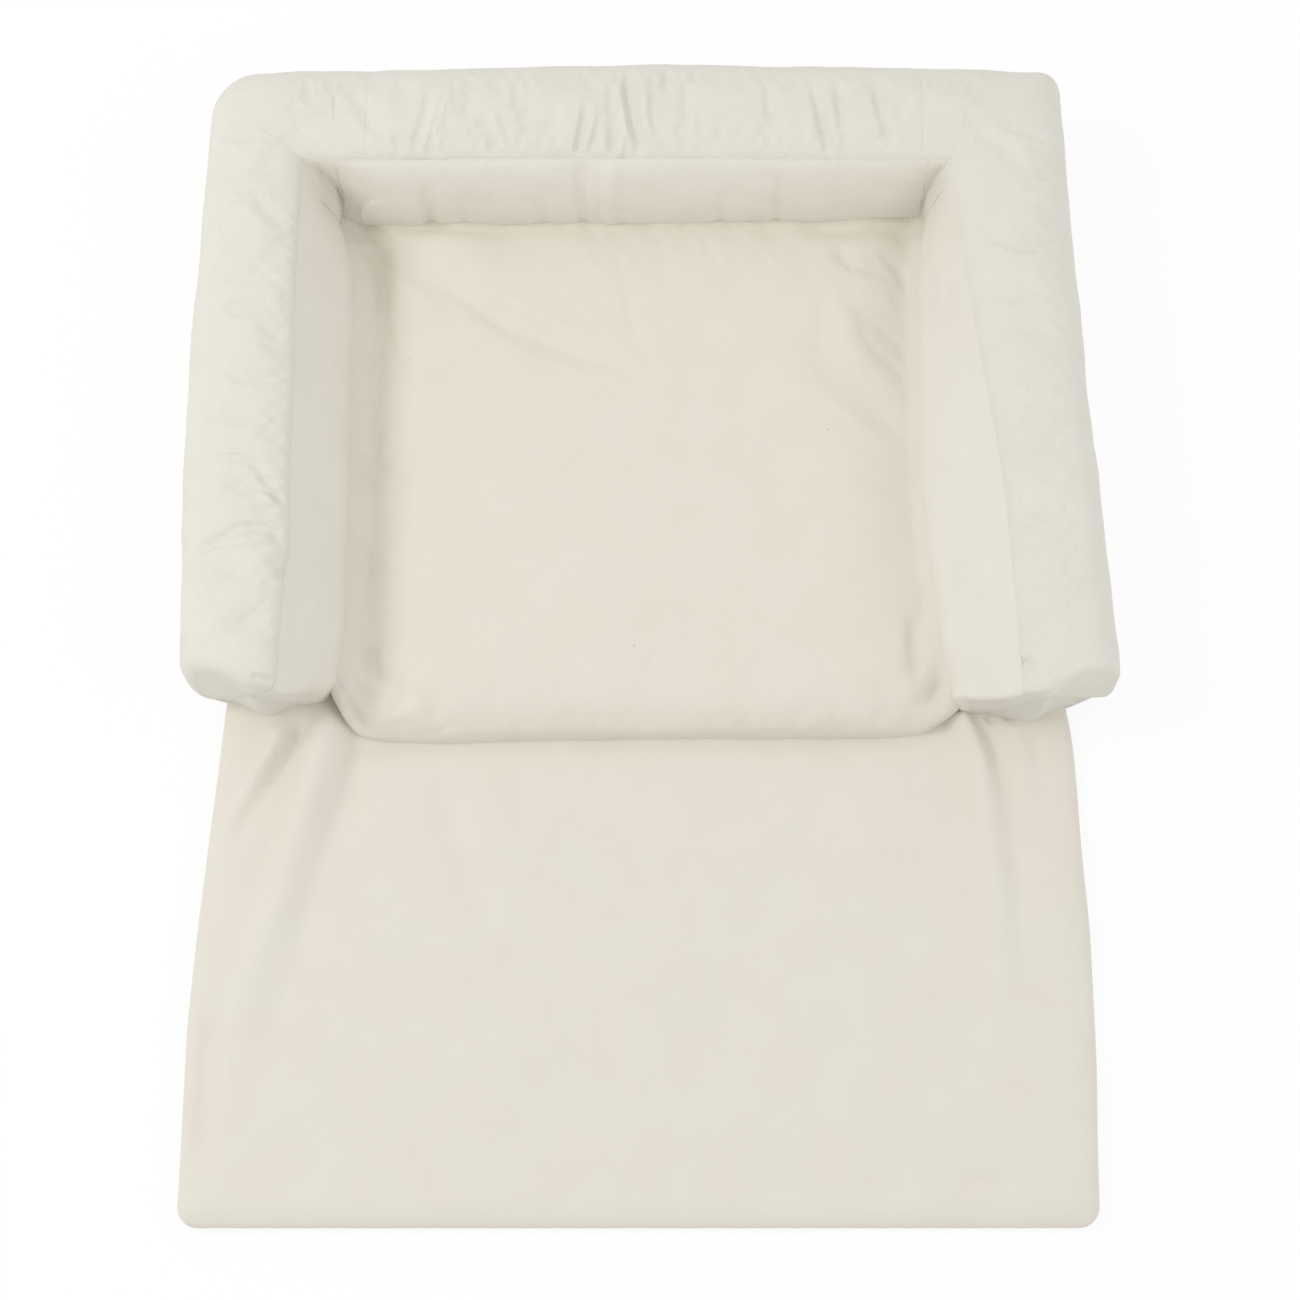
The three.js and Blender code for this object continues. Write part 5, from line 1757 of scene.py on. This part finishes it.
@dataclass
class RowOfCopies:
    """Copies of a small mesh set at even steps along some lines, by Geometry Nodes.

    Places are in metres. The unit's length is along X and its outer side towards Z.
    """

    name: str
    unit: Object
    lines: Sequence[Array]
    facing: Triple
    step: float
    finish: Material

    def piece(self) -> Object:
        """The row as a plain mesh object, its lines and unit removed."""
        lines = self._lines_object()
        tree = self._tree()
        modifier = lines.modifiers.new("copies", "NODES")
        modifier.node_group = tree
        keys = {item.name: item.identifier for item in tree.interface.items_tree}
        modifier[keys["Unit"]] = self.unit
        modifier[keys["Step"]] = self.step
        modifier[keys["Facing"]] = self.facing
        modifier[keys["Finish"]] = self.finish
        bpy.context.view_layer.update()
        drawn = lines.evaluated_get(bpy.context.evaluated_depsgraph_get())
        mesh = bpy.data.meshes.new_from_object(drawn)
        mesh.name = self.name
        for spare in (lines, self.unit):
            bpy.data.objects.remove(spare)
        return linked(self.name, mesh)

    def _lines_object(self) -> Object:
        """The lines as a mesh of edges."""
        points, edges = [], []
        for line in self.lines:
            first = len(points)
            points += [tuple(point) for point in line]
            edges += [(first + i, first + i + 1) for i in range(len(line) - 1)]
        mesh = bpy.data.meshes.new(self.name + "_lines")
        mesh.from_pydata(points, edges, [])
        return linked(self.name + "_lines", mesh)

    def _tree(self) -> NodeTree:
        """The node tree: lines to points at even steps, a turned copy on each, and the finish."""
        tree = bpy.data.node_groups.new(self.name, "GeometryNodeTree")
        kinds = {"Lines": "Geometry", "Unit": "Object", "Step": "Float", "Facing": "Vector",
                 "Finish": "Material"}
        for name, kind in kinds.items():
            tree.interface.new_socket(name, in_out="INPUT", socket_type="NodeSocket" + kind)
        tree.interface.new_socket("Copies", in_out="OUTPUT", socket_type="NodeSocketGeometry")
        given = tree.nodes.new("NodeGroupInput").outputs
        curves = new_node(tree, "GeometryNodeMeshToCurve", {}, {"Mesh": given["Lines"]})
        points = new_node(tree, "GeometryNodeCurveToPoints", {"mode": "LENGTH"}, {
            "Curve": curves.outputs[0], "Length": given["Step"]})
        turned = "FunctionNodeAlignRotationToVector"
        along = new_node(tree, turned, {"axis": "X"}, {"Vector": points.outputs["Tangent"]})
        out = new_node(tree, turned, {"axis": "Z", "pivot_axis": "X"}, {
            "Rotation": along.outputs[0], "Vector": given["Facing"]})
        unit = new_node(tree, "GeometryNodeObjectInfo", {}, {"Object": given["Unit"]})
        copies = new_node(tree, "GeometryNodeInstanceOnPoints", {}, {
            "Points": points.outputs["Points"], "Instance": unit.outputs["Geometry"],
            "Rotation": out.outputs[0]})
        solid = new_node(tree, "GeometryNodeRealizeInstances", {}, {"Geometry": copies.outputs[0]})
        dressed = new_node(tree, "GeometryNodeSetMaterial", {}, {
            "Geometry": solid.outputs[0], "Material": given["Finish"]})
        new_node(tree, "NodeGroupOutput", {}, {"Copies": dressed.outputs[0]})
        return tree


def bevelled(name: str, outline: Plan, depth: float, bevel: float,
             hole: Plan = ()) -> Object:
    """A flat part with rounded edges.

    Args:
        name: Its name.
        outline: Its outline in X and Z, in mm.
        depth: Its thickness along Y, in mm.
        bevel: The round of its edges, in mm.
        hole: The outline of a hole with as many points as the outline, if it has one.

    Returns:
        The part, its inner face at Y 0 and its outer face at Y depth.
    """
    made = bmesh.new()
    rings = [outline, hole] if hole else [outline]
    levels = [[[made.verts.new((x * MM, y * MM, z * MM)) for x, z in ring] for ring in rings]
              for y in (0, depth)]
    for low, high in zip(*levels):
        for i in range(len(low)):
            j = (i + 1) % len(low)
            made.faces.new((low[i], low[j], high[j], high[i]))
    for level in levels:
        if not hole:
            made.faces.new(level[0])
            continue
        outer, inner = level
        for i in range(len(outer)):
            j = (i + 1) % len(outer)
            made.faces.new((outer[i], outer[j], inner[j], inner[i]))
    bmesh.ops.recalc_face_normals(made, faces=made.faces)
    sharp = [edge for edge in made.edges if edge.calc_face_angle() > SHARP_EDGE]
    bmesh.ops.bevel(made, geom=sharp, offset=bevel * MM, segments=2, profile=0.5, affect="EDGES")
    mesh = bpy.data.meshes.new(name)
    made.to_mesh(mesh)
    made.free()
    return linked(name, mesh)


def move_mesh(part: Object, x: float = 0.0, y: float = 0.0, z: float = 0.0) -> None:
    """Moves a part's mesh by distances in mm."""
    part.data.transform(Matrix.Translation((x * MM, y * MM, z * MM)))


@dataclass
class Zip:
    """The zip in the back wall. Sizes and places are in mm, and a face is a place along Y.

    A tooth is its length, reach and depth, with the halves of its waist, head and foot as shares
    of the length. The bridge is its half length, height, thickness and width, with the levels of
    its feet and of its outer and inner bends. The tab's round end is its middle and its radius.
    """

    finishes: Finishes
    height: float = 34.0
    half: float = 187.35
    tape_half: float = 195.35
    tape_height: float = 12.0
    tape_face: float = 397.4
    tape_thickness: float = 0.6
    tape_bevel: float = 0.15
    chain_face: float = 400.8
    pitch: float = 2.6
    tooth: Triple = (1.5, 2.9, 3.2)
    tooth_halves: Triple = (0.5, 0.36, 0.3)
    tooth_levels: Span = (-0.3, 0.9)
    tooth_bevel: float = 0.22
    end_gap: float = 1.0
    stop_face: float = 399.2
    stop_length: float = 3.0
    stop_depth: float = 3.0
    stop_heights: Span = (31.6, 36.4)
    stop_gap: float = 0.3
    stop_bevel: float = 0.5
    slider_x: float = -181.85
    slider_face: float = 401.1
    plate: Plan = ((-5.5, -2.2), (-4.6, -3.2), (-2.0, -3.7), (1.0, -4.0), (4.4, -3.9), (5.5, -3.0),
                   (5.5, -1.1), (4.6, 0), (5.5, 1.1), (5.5, 3.0), (4.4, 3.9), (1.0, 4.0),
                   (-2.0, 3.7), (-4.6, 3.2), (-5.5, 2.2))
    plate_depth: float = 1.8
    plate_bevel: float = 0.45
    bridge: tuple[float, float, float, float] = (3.4, 4.5, 0.9, 2.0)
    bridge_levels: Triple = (1.0, 3.4, 3.2)
    bridge_bends: Span = (0.8, 0.4)
    bridge_bevel: float = 0.22
    tab: Span = (19.3, 2.7)
    tab_turns: int = 12
    tab_root: Span = (-0.55, 2.2)
    root_points: int = 6
    tab_places: tuple[float, ...] = (14.0, 8.0, 6.0, 4.6, 3.0, 1.4, 0.2)
    tab_narrowing: float = 0.5
    tab_narrow_span: Span = (6.0, 0.0)
    tab_depth: float = 1.1
    tab_bevel: float = 0.25
    tab_face: float = 403.25
    eye: Span = (3.05, 0.0)
    eye_halves: Span = (2.6, 1.5)
    stitch: Span = (2.2, 0.7)
    stitch_depth_share: float = 0.7
    stitch_points: int = 8
    stitch_bevel: float = 0.15
    stitch_step: float = 3.1
    stitch_gap: float = 7.5
    stitch_end: float = 3.0
    stitch_lift: float = 0.12
    stitch_tries: int = 130
    behind: float = 500.0

    def tape(self, name: str, low: float) -> Object:
        """A tape, as a thin woven strip.

        Args:
            name: Its name.
            low: The height of its lower edge.

        Returns:
            The tape.
        """
        half, high = self.tape_half, low + self.tape_height
        strip = bevelled(name, ((-half, low), (half, low), (half, high), (-half, high)),
                         self.tape_thickness, self.tape_bevel)
        move_mesh(strip, y=self.tape_face - self.tape_thickness)
        layer = strip.data.uv_layers.new(name="cloth")
        for loop in strip.data.loops:
            place = strip.data.vertices[loop.vertex_index].co
            layer.data[loop.index].uv = (place.x, place.z)
        strip.data.materials.append(self.finishes.tape)
        return strip

    def teeth(self) -> Object:
        """The moulded teeth, one row from each tape, meshed in the middle."""
        length, reach, depth = self.tooth
        waist, head, foot = (length * share for share in self.tooth_halves)
        low, high = self.tooth_levels
        outline = ((-waist, low), (-head, high), (head, high), (waist, low), (foot, high - reach),
                   (-foot, high - reach))
        unit = bevelled("tooth", outline, depth, self.tooth_bevel)
        move_mesh(unit, y=-depth)
        unit.data.transform(OUTWARD_TURN)
        rows = []
        for side, shift in ((1, 0.0), (-1, self.pitch / 2)):
            xs = (-self.half + self.end_gap + shift, self.half - self.end_gap)
            ends = [(x * MM, self.chain_face * MM, self.height * MM) for x in xs]
            rows.append(RowOfCopies("teeth", unit.copy(), [np.array(ends[::side])], (0, 1, 0),
                                    self.pitch * MM, self.finishes.plastic).piece())
        bpy.data.objects.remove(unit)
        return joined("zip_teeth", rows)

    def stops(self) -> list[Object]:
        """The clamps at both ends of the chain."""
        made = []
        low, high = self.stop_heights
        starts = (-self.half - self.stop_gap - self.stop_length, self.half + self.stop_gap)
        for name, start in zip(("zip_end_left", "zip_end_right"), starts):
            end = start + self.stop_length
            outline = ((start, low), (end, low), (end, high), (start, high))
            stop = bevelled(name, outline, self.stop_depth, self.stop_bevel)
            move_mesh(stop, y=self.stop_face)
            stop.data.materials.append(self.finishes.metal)
            made.append(stop)
        return made

    def slider(self) -> Object:
        """The slider: a waisted plate with the bridge that holds the pull."""
        plate = bevelled("plate", self.plate, self.plate_depth, self.plate_bevel)
        part = joined("zip_slider_body", [plate, self._bridge()])
        move_mesh(part, self.slider_x, self.slider_face, self.height)
        part.data.materials.append(self.finishes.metal)
        return part

    def _bridge(self) -> Object:
        """The arch over the plate, a bent strip."""
        half, top, thick, width = self.bridge
        foot, outer_bend, inner_bend = self.bridge_levels
        outer_reach, inner_reach = self.bridge_bends
        outer = ((half, foot), (half, outer_bend), (half - outer_reach, top))
        inner = ((half - thick, foot), (half - thick, inner_bend),
                 (half - thick - inner_reach, top - thick))
        left_outer, left_inner = (tuple((-x, z) for x, z in line) for line in (outer, inner))
        outline = left_outer + outer[::-1] + inner + left_inner[::-1]
        bridge = bevelled("bridge", outline, width, self.bridge_bevel)
        move_mesh(bridge, y=-width / 2)
        bridge.data.transform(OUTWARD_TURN.inverted())
        return bridge

    def pull(self) -> Object:
        """The pull: a rounded tab with an eye for the bridge."""
        end, half = self.tab
        turns = np.linspace(-math.pi / 2, math.pi / 2, self.tab_turns)
        tip = [(end + half * math.cos(turn), half * math.sin(turn)) for turn in turns]
        root_x, root_half = self.tab_root
        root = [(root_x, z) for z in np.linspace(root_half, -root_half, self.root_points)]
        upper = [(x, half - self.tab_narrowing * eased(*self.tab_narrow_span, np.array(x)))
                 for x in self.tab_places]
        lower = [(x, -z) for x, z in reversed(upper)]
        outline = [(float(x), float(z)) for x, z in tip + upper + root + lower]
        part = bevelled("zip_pull_tab", outline, self.tab_depth, self.tab_bevel, self._eye(outline))
        move_mesh(part, self.slider_x, self.tab_face, self.height)
        part.data.materials.append(self.finishes.metal)
        return part

    def _eye(self, outline: Plan) -> Plan:
        """The eye's outline, a point in line with each point of the tab's outline."""
        middle = np.array(self.eye)
        length, height = self.eye_halves
        ways = [np.array(point) - middle for point in outline]
        points = [middle + way * (1 / math.hypot(way[0] / length, way[1] / height)) for way in ways]
        return tuple((float(x), float(z)) for x, z in points)

    def stitches(self, bolster: Object) -> Object:
        """Two rows of stitches beside the zip, laid on the cover.

        Args:
            bolster: The cover.

        Returns:
            The stitches as one piece.
        """
        length, width = self.stitch
        half = self.tape_half - self.stitch_end
        rows = []
        for side in (-1, 1):
            z = (self.height + side * self.stitch_gap) * MM
            line = []
            for x in np.linspace(-half, half, self.stitch_tries) * MM:
                start = Vector((x, self.behind * MM, z))
                hit, place, _, _ = bolster.ray_cast(start, Vector((0, -1, 0)))
                if hit:
                    line.append(np.array(place) + [0, self.stitch_lift * MM, 0])
            rows.append(np.array(line))
        turns = np.linspace(0, 2 * math.pi, self.stitch_points, endpoint=False)
        outline = [(length / 2 * math.cos(turn), width / 2 * math.sin(turn)) for turn in turns]
        depth = width * self.stitch_depth_share
        unit = bevelled("stitch", outline, depth, self.stitch_bevel)
        move_mesh(unit, y=-depth / 2)
        unit.data.transform(OUTWARD_TURN)
        return RowOfCopies("zip_stitches", unit, rows, (0, 1, 0), self.stitch_step * MM,
                           self.finishes.thread).piece()


def joined(name: str, parts: Sequence[Object]) -> Object:
    """Several mesh objects as one.

    Args:
        name: The new object's name.
        parts: The objects, which are removed.

    Returns:
        The object, with the first part's materials.
    """
    made = bmesh.new()
    for part in parts:
        made.from_mesh(part.data)
    mesh = bpy.data.meshes.new(name)
    made.to_mesh(mesh)
    made.free()
    for material in parts[0].data.materials:
        mesh.materials.append(material)
    for part in parts:
        bpy.data.objects.remove(part)
    return linked(name, mesh)


@dataclass
class Studio:
    """The floor, the lights and the camera. Sizes are in metres, the camera's place in mm.

    A lamp is its name, place, size and watts, and the sky is the light from all round.
    """

    lens: float = 72.0
    sensor: float = 36.0
    camera_place: Triple = (8.0, -542.6, 1740.0)
    look_down: float = 73.0
    floor_half: float = 3.0
    floor_tone: float = 0.93
    sky: float = 0.775
    whitening: float = 0.85
    glow: float = 1.01
    lamps: tuple[tuple[str, Triple, float, float], ...] = (
        ("key", (-1.75, 0.15, 2.0), 1.1, 18.0),
        ("fill", (1.7, -0.35, 1.5), 1.3, 5.8),
    )

    def build(self) -> None:
        """Adds the floor, world, lights and camera."""
        self._floor()
        self._world()
        for name, place, size, watts in self.lamps:
            data = bpy.data.lights.new(name, "AREA")
            data.shape, data.size, data.energy = "SQUARE", size, watts
            lamp = linked(name, data)
            lamp.location = place
            lamp.rotation_euler = (-Vector(place)).to_track_quat("-Z", "Y").to_euler()
        self._camera()

    @staticmethod
    def _seen(tree: NodeTree) -> Value:
        """1 for what the camera sees, straight, in a gloss or through glass."""
        path = tree.nodes.new("ShaderNodeLightPath")
        rays = ("Is Camera Ray", "Is Glossy Ray", "Is Transmission Ray")
        camera, gloss, glass = (Value(tree, path.outputs[ray]) for ray in rays)
        return (camera + gloss + glass).above(0.5)

    def _floor(self) -> None:
        """A plain white floor that keeps a soft share of the lounger's shadow."""
        half = self.floor_half
        mesh = bpy.data.meshes.new("floor")
        corners = [(-half, -half, 0), (half, -half, 0), (half, half, 0), (-half, half, 0)]
        mesh.from_pydata(corners, [], [(0, 1, 2, 3)])
        finish = Finish("floor_white")
        finish.set(Base_Color=(*[self.floor_tone] * 3, 1), Roughness=0.9, Specular_IOR_Level=0.1)
        glow = finish.node("ShaderNodeEmission", {}, {"Color": (1, 1, 1, 1), "Strength": self.glow})
        mix = finish.node("ShaderNodeMixShader", {}, {
            0: self._seen(finish.tree) * self.whitening, 1: finish.shader.outputs[0],
            2: glow.outputs[0]})
        finish.tree.links.new(mix.outputs[0], finish.surface)
        mesh.materials.append(finish.material)
        linked("floor", mesh)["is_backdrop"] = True

    def _world(self) -> None:
        """Even white light from all round, seen as pure white."""
        world = bpy.data.worlds.new("studio")
        world.use_nodes = True
        tree = world.node_tree
        background = tree.nodes["Background"]
        background.inputs["Color"].default_value = (1, 1, 1, 1)
        strength = self._seen(tree) * (1 - self.sky) + self.sky
        tree.links.new(strength.socket, background.inputs["Strength"])
        bpy.context.scene.world = world

    def _camera(self) -> None:
        """The camera, above the apron end and looking down at the pad."""
        data = bpy.data.cameras.new("camera")
        data.lens, data.sensor_width = self.lens, self.sensor
        camera = linked("camera", data)
        camera.location = Vector(self.camera_place) * MM
        camera.rotation_euler = (math.radians(90 - self.look_down), 0, 0)
        bpy.context.scene.camera = camera
        bpy.context.scene.view_settings.view_transform = "Standard"


LOUNGER_NODES = (
    "head_top_panel", "head_back_lower_panel", "head_inner_wall", "head_core",
    "left_arm_top_panel", "left_inner_wall", "left_end_cap", "left_arm_core",
    "right_arm_top_panel", "right_inner_wall", "right_end_cap", "right_arm_core",
)


def add_zip(bolster: Object, fastener: Zip) -> None:
    """Builds the zip's pieces and places them on their bodies.

    Args:
        bolster: The cover that the zip is let into.
        fastener: The zip.
    """
    tapes = (("tape_above", "zip_tape_upper", 34.3), ("tape_below", "zip_tape_lower", 21.7))
    for name, node, low in tapes:
        tape = fastener.tape(name, low)
        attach(tape, "lounger")
        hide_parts(node)
        flat = (fastener.tape_height * MM, 2 * fastener.tape_half * MM)
    teeth = fastener.teeth()
    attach(teeth, "lounger")
    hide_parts("zip_chain")
    for stop, node in zip(fastener.stops(), ("zip_stop_left", "zip_stop_right")):
        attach(stop, "lounger")
        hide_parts(node)
    slider, pull = fastener.slider(), fastener.pull()
    for part, body, node in ((slider, "slider", "zip_slider"), (pull, "pull", "zip_pull")):
        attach(part, body)
        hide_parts(node)
    stitches = fastener.stitches(bolster)
    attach(stitches, "lounger")


def main() -> None:
    """Builds every piece, places all but the apron's two on their bodies, and logs each one's
    faces.
    """
    logging.basicConfig(level=logging.INFO, format="%(name)s: %(message)s")
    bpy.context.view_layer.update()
    Studio().build()
    finishes = Finishes.made()

    bolster = Bolster(finishes).piece()
    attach(bolster, "lounger")
    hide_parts(*LOUNGER_NODES)

    pad = Pad(finishes).piece()
    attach(pad, "lounger")
    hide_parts("pad_top_panel", "pad_core")

    near, far = Apron(finishes).pieces()
    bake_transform(near)
    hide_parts("apron_near_top", "apron_near_wadding", "apron_near_base",
                "left_apron_tuck", "right_apron_tuck")
    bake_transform(far)
    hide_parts("apron_far_top", "apron_far_wadding", "apron_far_base")

    base = BaseCloth(finishes)
    cloth = base.piece()
    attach(cloth, "lounger")
    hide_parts("base_panel")
    base.flat_size()

    add_zip(bolster, Zip(finishes))

    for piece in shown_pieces():
        LOG.info("%s: %d faces", piece.name, len(piece.data.polygons))


if __name__ == "__main__":
    main()
